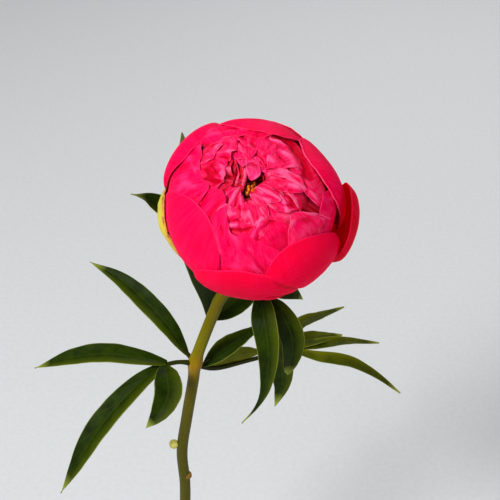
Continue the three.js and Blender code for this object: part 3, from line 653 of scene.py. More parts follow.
# the petals round the eye: their outer faces are pink, and those that stand in it are deep red
eyePetals = {
    'eye_low': dict(shell=4.7, root=42, seed=65, curl=(0.35, 80), tilt=-0.8, front=innerFace,
        rim=[(184, 32), (190, 20), (198, 15), (209, 11), (222, 9.5), (238, 11), (253, 14), (268, 18),
             (286, 20), (302, 30)],
        folds=[(1.8, 0.5, (208, 11), (216, 26)), (1.4, -0.5, (200, 16), (206, 28)), (1.8, 0.6, (228, 10),
               (234, 24)), (1.4, -0.5, (240, 13), (246, 26)), (1.8, 0.5, (254, 16), (262, 26))]),
    'eye_low_right': dict(shell=5.4, root=36, seed=66, front=innerFace,
        rim=[(280, 28), (290, 20), (302, 16), (316, 12), (330, 10), (342, 14), (350, 26)]),
    'eye_right': dict(shell=5.2, root=38, seed=63, curl=(0.35, 80), front=innerFace,
        rim=[(336, 28), (346, 18), (356, 17), (370, 18), (384, 19.5), (402, 27)],
        folds=[(1.4, 0.7, (352, 17), (354, 30)), (1.2, -0.7, (364, 18), (364, 30)), (1.4, 0.7, (376, 19),
               (374, 30))]),
    'eye_right_outer': dict(shell=4.5, root=42, seed=64, curl=(0.35, 80), front=innerFace,
        rim=[(334, 32), (346, 21), (360, 22), (376, 24), (388, 26), (402, 34)]),
    'eye_back': dict(shell=5.2, root=38, seed=67, curl=(0.4, 90), crumple=0.4, notch=0.8, front=innerFace,
        rim=[(30, 28), (42, 20), (56, 17), (74, 16), (96, 17), (112, 19), (126, 26)],
        folds=[(1.4, -0.8, (60, 18), (66, 30)), (1.6, 0.7, (84, 18), (88, 28)), (1.4, -0.8, (104, 18),
               (108, 28))]),
    'eye_left_outer': dict(shell=4.3, root=40, seed=62, crumple=0.5, notch=1.2,
        rim=[(112, 28), (124, 20), (140, 16), (158, 13), (176, 12), (194, 14), (208, 24)],
        folds=[(1.3, 0.7, (142, 15), (150, 28)), (1.3, -0.7, (160, 13), (162, 26)), (1.2, 0.6, (176, 12),
               (174, 24))]),
    'eye_left': dict(shell=5, root=34, seed=61, crumple=0.5, notch=1.2,
        rim=[(108, 24), (120, 14), (138, 9), (162, 7), (184, 7), (204, 11), (218, 20)],
        folds=[(1.2, 0.9, (112, 16), (128, 10), (160, 9), (190, 10)), (1, -0.8, (124, 15), (148, 11.5),
               (180, 11))]),
    'eye_streak': dict(shell=5.8, root=28, seed=59, crumple=0.5, notch=0.8,
        rim=[(78, 18), (88, 8), (104, 4), (140, 2.5), (190, 2.5), (228, 5), (244, 14)],
        folds=[(1, 0.8, (98, 12), (108, 6), (150, 4), (200, 4.5))]),
}

paleCurls = {
    'eye_curl': dict(shell=5.6, rootShell=5.2, root=21, seed=68, belly=0.8, curl=(0.5, 110),
        rim=[(52, 18), (41, 15.5), (31, 12), (25, 9), (34, 6.5), (54, 5.5), (73, 6.5), (85, 9), (92, 12),
             (92, 16)]),
    'eye_arch': dict(shell=4.9, rootShell=5.4, root=32, seed=69, curl=(0.4, 90),
        rim=[(4, 28), (14, 20), (32, 17), (56, 17.5), (76, 17.5), (92, 16), (108, 15), (118, 24)]),
}

petalGroups = (
    # petals, their outer and inner looks, and what the group has in common
    (guardPetals, guardFace, backFace, dict(swell=0.45)),
    (sidePetals, sideFace, backFace,
     dict(swell=0.7, crumple=0.8, crinkle=0.1, ruffle=0.3, notch=0.8, spacing=0.6)),
    (innerPetals, innerFace, paleFace,
     dict(rootDrop=0.7, swell=0.6, crumple=1.3, crinkle=0.14, ruffle=0.5, notch=1.8, spacing=0.45)),
    (eyePetals, heartFace, paleFace,
     dict(rootShell=7.4, swell=0.5, crumple=0.8, crinkle=0.14, ruffle=0.6, notch=1.6, spacing=0.4)),
    (paleCurls, paleFace, paleFace,
     dict(swell=0.4, crumple=0.5, crinkle=0.1, ruffle=0.2, notch=0.6, spacing=0.4)),
)
for petals, front, back, common in petalGroups:
    for name, petal in petals.items():
        addPetal('petal_' + name, {**common, **petal}, front, back)
print('petals ready:', sum(len(group[0]) for group in petalGroups))


eyeShape = {
    'count': 7,
    'seed': 5,
    'jitter': 8,          # degrees round the eye
    'halfWidth': (24, 32),
    'rimAngle': (13, 18),     # degrees from the opening
    'wellRadius': 7.4,
    'wellFloor': 14.5,    # mm above the bloom's centre
    'wellRim': 27.5,
    'wellRows': 0.25,     # share of the core's rows that line the well
    'wellTop': 14,        # degrees from the eye where the core leaves the well
    'coreRows': 60,
    'coreColumns': 96,
    'coreInset': (0.4, 4.2),     # mm inside the bloom's outline, least at its foot and most at its sides
    'coreInsetAtEye': 3.4,       # mm more round the eye
}


def addWellPetals():
    # the smallest petals, stood round the well under the others
    e = eyeShape
    draw = random.Random(e['seed'])
    common = dict(rows=26, swell=0.5, crumple=0.9, crinkle=0.2, ruffle=0.6, notch=1.8, spacing=0.5)
    for i in range(e['count']):
        middle = 360 / e['count'] * i + draw.uniform(-e['jitter'], e['jitter'])
        half = draw.uniform(*e['halfWidth'])
        top = draw.uniform(*e['rimAngle'])
        rim = [(middle - half, top + 9), (middle - half * 0.5, top + 2), (middle, top),
               (middle + half * 0.5, top + 3), (middle + half, top + 9)]
        petal = dict(common, shell=6.4 + 0.8 * (i % 2), root=36 - 4 * (i % 2), seed=80 + i, rim=rim)
        addPetal('petal_well_%d' % (i + 1), petal, heartFace, heartFace)


def coreInset(fromEye):
    least, most = eyeShape['coreInset']
    side = min(most, max(least, 1.2 + (150 - fromEye) / 5))
    return side + eyeShape['coreInsetAtEye'] * (1 - smooth(fromEye, 42, 92))


def addBloomCore():
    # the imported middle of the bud, with the well that the stamens stand in
    e = eyeShape
    rows, columns = e['coreRows'], e['coreColumns']
    points, uvs = [], []
    for i in range(rows):
        down = i / (rows - 1)
        for j in range(columns):
            around = 360 * j / columns
            if down < e['wellRows']:      # floor and wall of the well
                share = down / e['wellRows']
                height = mix(e['wellFloor'], e['wellRim'], smooth(share, 0.5, 1))
                crumple = 0.35 * ripple(around / 9, share * 4, 90) * smooth(share, 0.4, 0.7)
                point = onBloomAxis(height, e['wellRadius'] * min(1, share * 2) + crumple, around)
            else:
                fromEye = mix(e['wellTop'], 180, (down - e['wellRows']) / (1 - e['wellRows']))
                pleat = 0.3 * ripple(around / 6, fromEye / 30, 91) * smooth(180 - fromEye, 0, 40)
                point = bloomPoint(fromEye, around, -coreInset(fromEye) + pleat)
            points.append(point)
            uvs.append((around / 60, 0.3 + 0.4 * down))
    faces = [face[::-1] for face in gridFaces(rows, columns, closed=True)]
    addPiece('bloom_heart', points, faces, [heartFace], 'bloom', uvs)


addWellPetals()
addBloomCore()
print('eye of the bloom ready')


# stamens and carpels, standing in the well

stamenSettings = {
    'count': 34,
    'seed': 12,
    'seat': eyeShape['wellFloor'] + 0.3,
    'filamentRadius': 0.28,
    'antherRadius': 0.7,
    'antherLength': 3.4,
    'sides': 8,
    'stride': 5,          # places round the ring from one to the next
    'jitter': 9,
    'foot': (3.0, 5.2),   # mm from the axis
    'height': (2.0, 3.0),
    'front': 296,         # angle round where the tallest stand
    'frontHeight': 5.6,   # how much taller they are
    'lean': (-0.4, 1.4),  # mm inwards at the tip
    'ring': ((2.6, 0), (6.2, 0), (6.2, 1.0), (5.6, 1.7), (3.2, 1.7), (2.6, 1.0), (2.6, 0)),   # out, height
    'ringColumns': 40,
}


def pollenMaterial():
    # mealy with orange pollen. Its grains are 0.03 mm, drawn as 0.3 mm grains so that they show
    material, tree = newMaterial('stamenPollen')
    place = objectPlace(tree)
    colour = ramp(cloudy(place, 700.0, 3.0), (0.3, '#a03c0a'), (0.5, '#d86c10'), (0.72, '#f09a2c'))
    finishMaterial(colour, 0.9, 0.15, relief(cells(place, 3300.0), 0.6, 0.0002))
    return material


def frameRings(path, radii, sides, ribs=0.0, ribCount=5, twist=0.0):
    # rings of points along a path, without twist, as points and uvs
    points, uvs, side = [], [], None
    length = 0.0
    for i, place in enumerate(path):
        ahead = (path[min(i + 1, len(path) - 1)] - path[max(i - 1, 0)]).normalized()
        if side is None:
            side = ahead.orthogonal().normalized()
        side = (side - ahead * side.dot(ahead)).normalized()
        up = ahead.cross(side)
        if i:
            length += (place - path[i - 1]).length
        for j in range(sides):
            turn = 2 * math.pi * j / sides
            radius = radii[i] * (1 + ribs * math.cos(ribCount * turn + twist * length))
            points.append(place + side * (radius * math.cos(turn)) + up * (radius * math.sin(turn)))
            uvs.append((j / sides, length / 100))
    return points, uvs


def tubeFaces(count, sides, start=0):
    # the skin and the two flat ends of a tube whose rings begin at start
    last = start + (count - 1) * sides
    return (gridFaces(count, sides, start, closed=True)
            + [tuple(start + sides - 1 - j for j in range(sides)), tuple(last + j for j in range(sides))])


def addStamens():
    s = stamenSettings
    draw, seat = random.Random(s['seed']), s['seat']
    points, uvs, faces, slots = [], [], [], []
    for i in range(s['count']):
        around = 360 / s['count'] * i * s['stride'] + draw.uniform(-s['jitter'], s['jitter'])
        foot = draw.uniform(*s['foot'])
        front = 0.5 + 0.5 * math.cos(math.radians(around - s['front']))
        tall = draw.uniform(*s['height']) + s['frontHeight'] * smooth(front, 0.7, 0.95)
        lean = draw.uniform(*s['lean'])
        knots = [onBloomAxis(seat, foot, around), onBloomAxis(seat + tall * 0.5, foot + 0.3, around + 3),
                 onBloomAxis(seat + tall, foot - lean, around + 6)]
        tip = onBloomAxis(seat + tall + s['antherLength'], foot - lean * 1.4, around + draw.uniform(0, 12))
        thread = [s['filamentRadius'] * mix(1.5, 0.8, k / 6) for k in range(7)]
        anther = [s['antherRadius'] * (0.25 + 0.95 * math.sin(math.pi * mix(0.08, 0.95, k / 7)) ** 0.6)
                  for k in range(8)]
        head = [knots[2], (knots[2] + tip) / 2, tip]
        for slot, (path, radii) in enumerate(((knots, thread), (head, anther))):
            new = tubeFaces(len(radii), s['sides'], len(points))
            rings, ringUvs = frameRings(curvePoints(path, len(radii)), radii, s['sides'], 0.18 * slot, 2)
            points += rings
            uvs += ringUvs
            faces += new
            slots += [slot] * len(new)
    # the ring that they grow from
    columns = s['ringColumns']
    new = gridFaces(len(s['ring']), columns, len(points), closed=True)
    for out, height in s['ring']:
        points += [onBloomAxis(seat + height, out, 360 * j / columns) for j in range(columns)]
        uvs += [(j / columns, 0) for j in range(columns)]
    faces += new
    slots += [0] * len(new)
    # smooth filaments, yellow to red at the foot
    filament = grainMaterial('stamenFilament', 500.0, 2.0, [(0.3, '#d8531c'), (0.7, '#f0a040')], 0.5, 0.3,
                             ior=1.4)
    piece = addPiece('stamens_fine', points, faces, [filament, pollenMaterial()], 'stamens', uvs)
    for face, slot in zip(piece.data.polygons, slots):
        face.material_index = slot


carpelShape = {
    'around': (90, 210, 330),
    'knots': ((0, 1.0, 0), (4, 1.2, 0), (7, 1.2, 0), (8.2, 2.0, 10)),    # up, out, and turned in degrees
    'radii': [1.0, 1.15, 1.25, 1.3, 1.25, 1.1, 0.9, 0.7, 0.55, 0.5, 0.5, 0.6, 0.65, 0.3],
    'sides': 16,
    'lobes': (0.05, 3),      # depth as a share of the radius, and how many
}


def addCarpels():
    # three fleshy flasks, pale green and finely hairy, each with a curled rose stigma
    material, tree = newMaterial('carpelFlesh')
    colour = ramp(split(growthPlace(tree))['Y'],
                  (0.0, '#a9b65c'), (0.055, '#b9bf6e'), (0.072, '#d8506c'))
    down = relief(cloudy(objectPlace(tree), 900.0, 3.0), 0.4, 0.0002)
    finishMaterial(colour, 0.7, 0.25, down, 1.4, more={'Sheen Weight': 0.3})
    c, seat = carpelShape, stamenSettings['seat']
    points, uvs, faces = [], [], []
    for around in c['around']:
        knots = [onBloomAxis(seat + up, out, around + turned) for up, out, turned in c['knots']]
        path = curvePoints(knots, len(c['radii']))
        faces += tubeFaces(len(path), c['sides'], len(points))
        rings, ringUvs = frameRings(path, c['radii'], c['sides'], *c['lobes'])
        points += rings
        uvs += ringUvs
    addPiece('carpels_fine', points, faces, [material], 'carpels', uvs)


addStamens()
addCarpels()
print('stamens and carpels ready')


# calyx: waxy sepals, yellow-green with torn brown edges, on a fleshy receptacle

def sepalMaterial(name, low, body, edge, torn, tear):
    material, tree = newMaterial(name)
    growth = growthPlace(tree)
    parts = split(growth)
    veins = cloudy(growth, 1.0, 3.0, stretch=(26.0, 2.5))
    colour = ramp(parts['Y'], (0.0, low), (0.4, body), (0.95, edge))
    colour = blend(0.25, colour, veins.node.outputs['Color'], blend_type='SOFT_LIGHT')
    # withered brown where the sepal tore, along its free margin, with dark flecks in it
    side = calc('ABSOLUTE', calc('SUBTRACT', parts['X'], 0.5))
    reach = calc('MAXIMUM', remap(side, 0.3, 0.46), remap(parts['Y'], 0.86, 0.96))
    dry = calc('MULTIPLY', reach, cloudy(objectPlace(tree), 220.0, 4.0, 0.65))
    colour = blend(remap(dry, 0.36, 0.5, 0, tear), colour, torn)
    colour = blend(remap(dry, 0.5, 0.58, 0, tear), colour, '#5c2008')
    finishMaterial(colour, 0.48, 0.35, relief(veins, 0.3, 0.0004), 1.42,
                   (0.08, (0.8, 1.0, 0.2), 0.001))
    return material


paleSepal = sepalMaterial('sepalPale', '#8c9c10', '#bcae08', '#c8b428', '#d0843c', 0.9)
greenSepal = sepalMaterial('sepalGreen', '#5f6c14', '#4d5c10', '#6a7420', '#9a6a2c', 0.7)

calyxShape = {
    'sepalRoot': 168,
    'petalOutside': 2.4,
    'thickness': 0.9,
    'rows': 40,
    'columns': 28,
    'sepals': {
        'sepal_left': dict(middle=177, half=23, tip=78, stand=2.6, close=-0.1, look=paleSepal),
        'sepal_front': dict(middle=262, half=22, tip=128, stand=1, look=greenSepal),
        'sepal_right': dict(middle=326, half=20, tip=130, stand=1, look=greenSepal),
        'sepal_back_right': dict(middle=40, half=24, tip=118, stand=1.6, look=greenSepal),
        'sepal_back_left': dict(middle=112, half=24, tip=114, stand=1.6, look=paleSepal),
    },
    # radius and height of the receptacle's outline, from the foot of the bloom
    'underside': -bloomShape['halfHeight'] - 0.6,
    'receptacle': ((0, 0), (5, 0.2), (10.4, 1.2), (10.2, -1.4), (6.5, -5), (4.2, -8.4), (3.6, -9), (0, -9)),
    'receptacleRings': 40,
    'receptacleColumns': 48,
}


def addCalyx():
    s = calyxShape
    rows, columns = s['rows'], s['columns']
    for number, (name, sepal) in enumerate(s['sepals'].items()):
        points, uvs = [], []
        for i in range(rows):
            up = i / (rows - 1)
            for j in range(columns):
                side = 2 * j / (columns - 1) - 1
                ragged = 1.4 * ripple(side * 7, 1.5, number + 70) + 0.9 * ripple(side * 19, 2.5, number + 70)
                fromEye = mix(s['sepalRoot'], sepal['tip'] + ragged * up, up * (1 - 0.3 * side * side * up))
                torn = 1 + 0.07 * ripple(up * 12, side, number + 75) * up
                spread = mix(1.5, 1, up) * sepal['half'] * side * torn
                lift = mix(1, s['petalOutside'], smooth(up, 0, 0.25)) + sepal['stand'] * up * up
                lift += 0.25 * ripple(side * 4, up * 5, number + 80) * up
                if 'close' in sepal:      # its top and its margins lie on the petals
                    closing = max(smooth(up, 0.78, 1), side * side * smooth(up, 0.7, 0.87))
                    lift = mix(lift, sepal['close'], closing)
                points.append(bloomPoint(fromEye, sepal['middle'] + spread, lift))
                uvs.append((0.5 + side / 2, up))
        piece = addPiece(name, points, gridFaces(rows, columns), [sepal['look']], 'calyx', uvs)
        thicken(piece, s['thickness'], 0.4, range((rows - 1) * columns, rows * columns))
    # the receptacle, a fleshy cup that the stem widens into
    outline = [(out, s['underside'] + height) for out, height in s['receptacle']]
    profile = curvePoints(outline, s['receptacleRings'])
    columns = s['receptacleColumns']
    points, uvs = [], []
    for k, place in enumerate(profile):
        for j in range(columns):
            around = 360 * j / columns
            lobed = 1 + 0.02 * math.cos(math.radians(around * 5))
            points.append(onBloomAxis(place.y, max(place.x, 0.02) * lobed, around))
            uvs.append((j / columns * 3, 0.2 + 0.2 * k / len(profile)))
    faces = gridFaces(len(profile), columns, closed=True)
    addPiece('receptacle', points, faces, [greenSepal], 'calyx', uvs)


addCalyx()
print('calyx ready')


# stem: smooth herbaceous stalk, olive-yellow and faintly ribbed, with swollen nodes

stemShape = {
    'radius': 3.1,
    'sides': 28,
    'rings': 240,
    'ribs': 0.025,
    'ribCount': 7,
    'path': [(-10, 10, 6), (-4, 4.2, 75), (3.2, -3.3, 150), (4.8, -3.6, 184), (4, -3.6, 210),
             (7.8, -3.6, 238), (12.1, -3.6, 265.3), (13.4, -3.6, 276.7), (19.1, -4, 296.4),
             (24.4, -5.4, 312.8), (28.2, -6.4, 323)],
    'underBloom': (56.6, 46.6),    # mm below the bloom's centre, the last two knots of the path
    'swellings': [(276.5, 0.9, 4.5), (341, 0.4, 4.0)],   # height, extra radius, width along the stem
    'knobs': {'bud_scar': (-0.4, -4.2, 216.2), 'leaf_scar': (6.3, -4, 191)},
    'knobSize': 2.7,
    'knobRows': 14,
    'knobColumns': 24,
    'knobBumps': 0.1,
}


def stemMaterial():
    # waxy green skin over pale flesh: its colour changes with height, olive below, a yellow-brown band at the
    # leafy node, and darker towards the bloom
    material, tree = newMaterial('stemSkin')
    place = objectPlace(tree)
    streaks = cloudy(growthPlace(tree), 1.0, 4.0, 0.6, stretch=(30.0, 9.0))
    colour = ramp(remap(split(place)['Z'], 0.0, 0.4),
                  (0.0, '#504e10'), (0.47, '#4a4606'), (0.56, '#4e4a04'), (0.66, '#565000'),
                  (0.69, '#8a6604'), (0.715, '#6c6600'), (0.8, '#5c5200'), (0.9, '#463c00'))
    colour = blend(0.5, colour, streaks.node.outputs['Color'], blend_type='SOFT_LIGHT')
    colour = blend(remap(cells(place, 700.0), 0.08, 0.2, 0.4, 0), colour, '#8c8024')
    finishMaterial(colour, remap(streaks, 0, 1, 0.5, 0.36), 0.12,
                   relief(streaks, 0.25, 0.0003), 1.42, (0.06, (0.8, 1.0, 0.2), 0.001))
    return material


def knobMaterial(name, dark, light):
    # dry, corky callus over a scar
    return grainMaterial(name, 600.0, 4.0, [(0.3, dark), (0.6, light)], 0.75, 0.2, (0.5, 0.0005))


def addStem():
    s = stemShape
    path = curvePoints([*s['path'], *(centre - axis * down for down in s['underBloom'])], s['rings'])
    radii = []
    for place in path:
        swell = sum(much * math.exp(-((place.z - height) / width) ** 2)
                    for height, much, width in s['swellings'])
        radii.append(s['radius'] + swell + 0.06 * noise.noise(Vector((0, 0, place.z / 14))))
    points, uvs = frameRings(path, radii, s['sides'], s['ribs'], s['ribCount'], twist=0.004)
    addPiece('stem_fine', points, tubeFaces(s['rings'], s['sides']), [stemMaterial()], 'stem', uvs)
    # a shed side bud and a shed lower leaf left low wrinkled knobs
    looks = {'bud_scar': knobMaterial('budScar', '#a89c3c', '#d8cf70'),
             'leaf_scar': knobMaterial('leafScar', '#5c3c10', '#86601c')}
    rows, columns = s['knobRows'], s['knobColumns']
    for name, middle in s['knobs'].items():
        points, uvs = [], []
        for i in range(rows):
            down = math.pi * mix(0.02, 0.98, i / (rows - 1))
            for j in range(columns):
                turn = 2 * math.pi * j / columns
                way = Vector((math.sin(down) * math.cos(turn), math.sin(down) * math.sin(turn),
                              math.cos(down)))
                bumpy = 1 + s['knobBumps'] * noise.noise(way * 3)
                points.append(Vector(middle) + way * s['knobSize'] * bumpy)
                uvs.append((j / columns, i / rows))
        faces = [face[::-1] for face in tubeFaces(rows, columns)]
        addPiece(name, points, faces, [looks[name]], 'stem', uvs)


addStem()
print('stem ready')


# leaves: leathery blades, dark and satin above, paler and duller beneath

leafShape = {
    'thickness': 0.42,
    'fold': 0.22,
    'root': 0.03,
    'rows': 72,
    'columns': 21,
    'veinPairs': 11,
    'veinSlant': 0.18,    # share of the blade that they climb from the midrib to the margin
    'quilting': 0.1,
    'unevenEdge': 0.035,
    'stalkRadius': 1.4,
    'stalkSides': 14,
    'stalkRings': 12,     # for each knot of the stalk
}


def leafMaterial(name, dark, body, paintedLitTone, veinTone, marginTone, roughness):
    material, tree = newMaterial(name)
    place = objectPlace(tree)
    parts = split(growthPlace(tree))
    side = calc('ABSOLUTE', calc('SUBTRACT', parts['X'], 0.5))
    # side veins leave the midrib in pairs and bend towards the tip
    level = calc('SUBTRACT', parts['Y'], calc('MULTIPLY', side, 2 * leafShape['veinSlant']))
    count = calc('MULTIPLY', level, float(leafShape['veinPairs']))
    saw = calc('PINGPONG', calc('MULTIPLY_ADD', cloudy(place, 60.0, 2.0), 0.5, count), 1.0)
    veins = calc('MAXIMUM', remap(saw, 0, 0.2, 0.55, 0), remap(side, 0.018, 0.045, 1, 0))
    patches = cloudy(place, 120.0, 4.0, 0.6)
    colour = ramp(patches, (0.32, dark), (0.68, body))
    # painted light: one half of each blade gets a painted highlight in yellow-green, as if turned to the
    # light
    colour = blend(remap(parts['X'], 0.42, 0.05, 0, 0.6), colour, paintedLitTone)
    colour = blend(calc('MULTIPLY', veins, 0.3), colour, veinTone)
    margin = remap(side, 0.46, 0.498, 0, 0.5)
    colour = blend(calc('MAXIMUM', margin, remap(parts['Y'], 0.86, 0.98, 0, 0.9)), colour, marginTone)
    skin = relief(cloudy(place, 900.0, 2.0), 0.2, 0.0002)
    rough = remap(patches, 0, 1, roughness + 0.08, roughness - 0.08)
    finishMaterial(colour, rough, 0.06, relief(veins, 0.3, 0.0004, skin, invert=True), 1.43,
                   (0.05, (0.6, 1.0, 0.2), 0.001))
    return material


upperSide = leafMaterial('leafUpperSide', '#101c00', '#223200', '#465004', '#384604', '#8c9438', 0.5)
underSide = leafMaterial('leafUnderSide', '#464c0c', '#5e6212', '#6c6e1c', '#6c7020', '#8c9048', 0.62)
# a darker copy of the upper side: painted shade for a blade that lies in shadow
paintedShadeSide = leafMaterial('leafPaintedShadeSide', '#060e00', '#0e1a00', '#1a2400', '#182000', '#586420', 0.55)
youngSide = leafMaterial('leafYoungSide', '#2e3600', '#484e02', '#686806', '#5c600c', '#a0a040', 0.52)
# smooth ribbed stalk, flushed red on its sunny side
stalkSkin = grainMaterial('leafStalk', 110.0, 3.0, [(0.3, '#1a2000'), (0.6, '#2a2c00'), (0.78, '#4a2606')],
                          0.45, 0.12, (0.2, 0.0003), ior=1.42)

leaves = {
    'leaf_left': dict(stalk=[(12.9, -3.6, 276), (4.4, -7, 279.6), (-3.4, -9.5, 279.7)], blades=[
        dict(rib=[(-1.3, -9, 280.7), (-15.2, -10, 285), (-33.3, -8, 286), (-53.4, -4, 279.9),
            (-73.9, 0, 269.3)], width=13, face=(0, -0.25, 1)),
        dict(rib=[(-2.4, -9, 279.6), (-11.5, -16, 277), (-24.4, -25, 268.3), (-38.7, -34, 253.2),
            (-49.3, -41, 236.7), (-58.3, -45, 220.5)], width=15.5, face=(-0.5, -0.45, 0.8)),
        dict(rib=[(-2.4, -9, 279.6), (-0.6, -20, 279.9), (0.3, -29, 276.9), (-3.5, -37, 271.8),
            (-10.8, -41, 264.3)], width=14.5, face=(0.1, -0.5, 0.9))]),
    'leaf_upper_left': dict(stalk=[(12.9, -3.6, 277), (6.5, -0.6, 284)], blades=[
        dict(rib=[(9, -2, 281), (-0.9, 4, 295.3), (-12.4, 14, 303), (-27.4, 25, 310.8), (-44.4, 35, 315)],
            width=11.5, face=(0.1, -0.5, 0.85))]),
    'leaf_right': dict(stalk=[(12.9, -3.6, 275.3), (23.6, 2, 267.6), (42.7, 10, 266.4), (64.5, 20, 265.9)],
        blades=[
        dict(rib=[(17.2, -1, 271.4), (27.6, 3, 278.8), (38.9, 9, 283.6), (49.8, 15, 287.8)], width=12,
            face=(-0.3, -0.4, 1)),
        dict(rib=[(17.2, -1, 270.8), (27.5, 3, 271.7), (38.9, 8, 271.7), (51.5, 13, 270.4)], width=12,
            face=(0, 1, 0.1)),
        dict(rib=[(62.8, 19.2, 266.4), (70.2, 30, 275), (82, 40, 273.5), (97, 50, 272.2)], width=7,
            face=(0, -0.3, 1), look=youngSide),
        dict(rib=[(63.4, 20, 265.9), (73.2, 28, 265.1), (85.1, 36, 261.4), (96, 42, 257.9)], width=10,
            face=(0, -0.3, 1), look=youngSide),
        dict(rib=[(63.9, 20, 265.9), (77.8, 28, 262.1), (97.3, 36, 258.4), (118.1, 44, 250.3)], width=6.5,
            face=(0, -0.4, 1), look=youngSide),
        dict(rib=[(63.9, 20, 265.9), (79.8, 20, 260.8), (98.8, 18, 258.1), (113.8, 16, 250.2),
            (128, 14, 238.4)], width=7, face=(0.2, -0.45, 0.9), look=youngSide)]),
    'leaf_front': dict(stalk=[(44, -6.4, 344), (44, -20, 342), (48, -35, 344)], blades=[
        dict(rib=[(48, -34, 343.8), (49.3, -46, 340.5), (51.2, -53, 329.8), (51.3, -55, 316),
            (49.5, -54, 300.3), (45.2, -52, 287.9), (38.7, -50, 276.5)], width=12.5, broad=0.45, blunt=1.5,
            face=(-0.25, -1, 0.3)),
        dict(rib=[(48, -33, 343.8), (57, -42, 340.5), (62.3, -46, 330.2), (63, -46, 317.7),
            (60.9, -44, 303.8)], width=12, broad=1.05, blunt=0.6, face=(0.3, -1, 0.3)),
        dict(rib=[(48, -33, 343.8), (53.4, -36, 322), (58.2, -34, 302.9), (59, -32, 286.5),
            (55.7, -30, 269.4)], width=12.5, broad=1, face=(0, -1, 0.1), wave=0.3),
        dict(rib=[(48, -34, 343.8), (54.8, -26, 342.5), (63.4, -20, 336.2), (68.7, -16, 328.7)], width=10,
            face=(0.2, -0.7, 0.7))]),
    # the first blade of the leaf behind has the painted-shade copy of the upper side
    'leaf_behind': dict(stalk=[(20, -4.4, 299), (23, 1, 305)], blades=[
        dict(rib=[(22, 0, 304), (22.6, 6, 313), (19.6, 16, 326), (13, 32, 352), (7.7, 46, 389)], width=22,
            face=(-0.2, -1, 0.25), look=paintedShadeSide),
        dict(rib=[(22, 0, 304), (32, 3, 310), (42, 9, 320), (53, 19, 338)], width=16,
            face=(0.1, -0.9, 0.4))]),
    'bract_left': dict(stalk=[(50.2, -7, 352), (44, 0, 353)], blades=[
        dict(rib=[(46, -2, 352.8), (25, 4, 355.4), (4.4, 6, 367), (-6, 3, 375.2), (-14.4, -4, 383)], width=14,
            face=(-0.4, -0.5, 0.7))]),
    'bract_back': dict(stalk=[(50.4, -7, 352), (54, 0, 353)], blades=[
        dict(rib=[(53, -2, 352.6), (62, 10, 358), (72, 20, 370), (78, 24, 386)], width=13,
            face=(0.5, 0.8, 0.5))]),
}


def addBlade(name, blade, node, seed):
    s = leafShape
    rows, columns = s['rows'], s['columns']
    path = curvePoints(blade['rib'], rows)
    look = Vector(blade['face']).normalized()
    wave, root = blade.get('wave', 0.5), s['root']
    broad, blunt = blade.get('broad', 0.85), blade.get('blunt', 0.9)
    points, uvs = [], []
    for i, middle in enumerate(path):
        along = i / (rows - 1)
        ahead = (path[min(i + 1, rows - 1)] - path[max(i - 1, 0)]).normalized()
        side = ahead.cross(look).normalized()
        up = side.cross(ahead)
        swell = max(0, math.sin(math.pi * ((along + root) / (1 + root)) ** broad)) ** blunt
        half = max(blade['width'] / 2 * swell, 0.12)
        for j in range(columns):
            x = 2 * j / (columns - 1) - 1
            keel = math.sqrt(x * x + 0.01) - 0.1
            edge = 1 + s['unevenEdge'] * noise.noise(Vector((along * 13, x * 2, seed)))
            sag = wave * math.sin(9 * along + 2 * x) * abs(x)
            # the blade swells a little between its side veins
            veins = s['veinPairs'] * (along - s['veinSlant'] * abs(x))
            quilt = s['quilting'] * math.cos(math.pi * veins) * abs(x) * swell
            points.append(middle + side * (half * x * edge) + up * (half * s['fold'] * keel + sag + quilt))
            uvs.append((0.5 + x / 2, along))
    looks = [blade.get('look', upperSide), underSide]
    piece = addPiece(name, points, gridFaces(rows, columns), looks, node, uvs)
    thicken(piece, s['thickness'], 0.5, [i * columns + j for i in range(rows) for j in (0, columns - 1)])


def addLeaves():
    s = leafShape
    for number, (name, leaf) in enumerate(leaves.items()):
        for k, blade in enumerate(leaf['blades']):
            addBlade('%s_blade_%d' % (name, k + 1), blade, name, 10 * number + k)
        rings = s['stalkRings'] * len(leaf['stalk'])
        path = curvePoints(leaf['stalk'], rings)
        radii = [s['stalkRadius'] * mix(1.25, 0.85, smooth(k / (rings - 1), 0, 0.5)) for k in range(rings)]
        points, uvs = frameRings(path, radii, s['stalkSides'], 0.05, 5)
        addPiece(name + '_stalk', points, tubeFaces(rings, s['stalkSides']), [stalkSkin], name, uvs)


addLeaves()
print('leaves ready')


# vase: thrown stoneware with a smoke-grey satin glaze, and the water in it

vaseShape = {
    'height': 150,
    'wall': 3.5,
    'floor': 5,
    'insideFrom': 14,       # mm up, where the inner wall begins
    'mouthRadius': 8,
    'lipRadius': 13,
    'lipRise': 1.6,
    'foot': [(0.05, 0), (14, 0), (26.5, 0), (27.6, 0.25)],
    'side': [(28, 0), (31.5, 5), (38, 46), (27.36, 80), (14, 98), (11.5, 116), (11.5, 138), (13, 148)],
    'corner': [(1.2, 9), (3.5, 6.2), (6, 5)],    # in from the inner wall, and the height
    'floorMiddle': (12, 0.05),
    'sideRings': 70,
    'lipRings': 9,
    'segments': 128,
    'throwingRings': 2.4,   # mm between the faint rings that the potter's fingers left
}


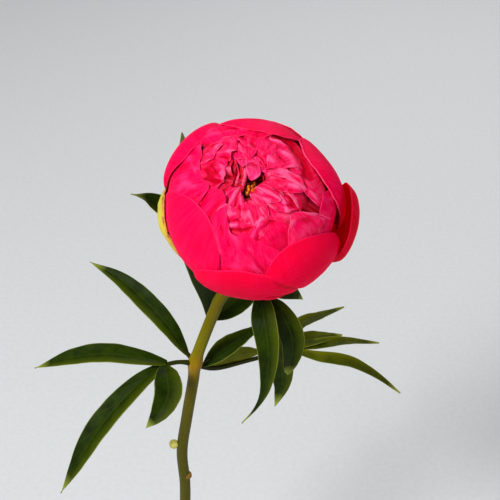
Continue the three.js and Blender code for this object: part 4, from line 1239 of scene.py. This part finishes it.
def glazeMaterial():
    # satin stoneware glaze: iron specks, and a thinner, browner coat where it broke over the lip
    material, tree = newMaterial('stonewareGlaze')
    place = objectPlace(tree)
    height = split(place)['Z']
    pool = cloudy(place, 45.0, 5.0, 0.6)
    colour = ramp(pool, (0.3, '#7c8183'), (0.5, '#8b8f90'), (0.7, '#9a9d9b'))
    colour = blend(remap(cells(place, 330.0), 0.1, 0.2, 0.75, 0), colour, '#4a4038')
    colour = blend(remap(height, 0.1485, 0.1502), colour, '#8c6e50')
    # the foot is wiped bare
    colour = blend(remap(height, 0.0012, 0.0022, 1, 0), colour, '#b59c7e')
    turns = calc('MULTIPLY', height, 2 * math.pi / (vaseShape['throwingRings'] * mm))
    rings = relief(calc('SINE', turns), 0.12, 0.0003)
    finishMaterial(colour, remap(pool, 0, 1, 0.42, 0.26), 0.5,
                   relief(pool, 0.15, 0.0008, rings), 1.52,
                   more={'Coat Weight': 0.25, 'Coat Roughness': 0.2})
    return material


def addVase():
    s = vaseShape
    top, rise = s['height'], s['lipRise']
    outer = [(p.x, p.y) for p in curvePoints(s['side'], s['sideRings'])]
    inner = [(max(s['mouthRadius'], out - s['wall']), up) for out, up in reversed(outer)
             if up > s['insideFrom']]
    lip = []
    for k in range(s['lipRings']):       # the rolled lip
        turn = math.pi * k / (s['lipRings'] - 1)
        lip.append((mix(s['lipRadius'], s['mouthRadius'], (1 - math.cos(turn)) / 2),
                    top - rise + rise * math.sin(turn)))
    corner = [(inner[-1][0] - inwards, up) for inwards, up in s['corner']]
    profile = (s['foot'] + [p for p in outer if p[1] > 0.6] + lip + [p for p in inner if p[1] < top - 3]
               + corner + [(out, s['floor']) for out in s['floorMiddle']])
    points, uvs = [], []
    for k, (out, up) in enumerate(profile):
        for j in range(s['segments']):
            turn = 2 * math.pi * j / s['segments']
            points.append(Vector((out * math.cos(turn), out * math.sin(turn), up)))
            uvs.append((j / s['segments'], k / len(profile)))
    faces = gridFaces(len(profile), s['segments'], closed=True)
    addPiece('vase_fine', points, faces, [glazeMaterial()], 'vase', uvs)


def dressWater():
    # still tap water, faintly green from the cut stem
    look = grainMaterial('vaseWater', 30.0, 2.0, [(0.3, '#dfe9e4'), (0.7, '#e9f0ea')], 0.03, 0.5,
                         (0.05, 0.0005), 1.333, {'Transmission Weight': 1.0})
    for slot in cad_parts['water'].material_slots:
        slot.material = look


addVase()
dressWater()
print('vase and water ready')
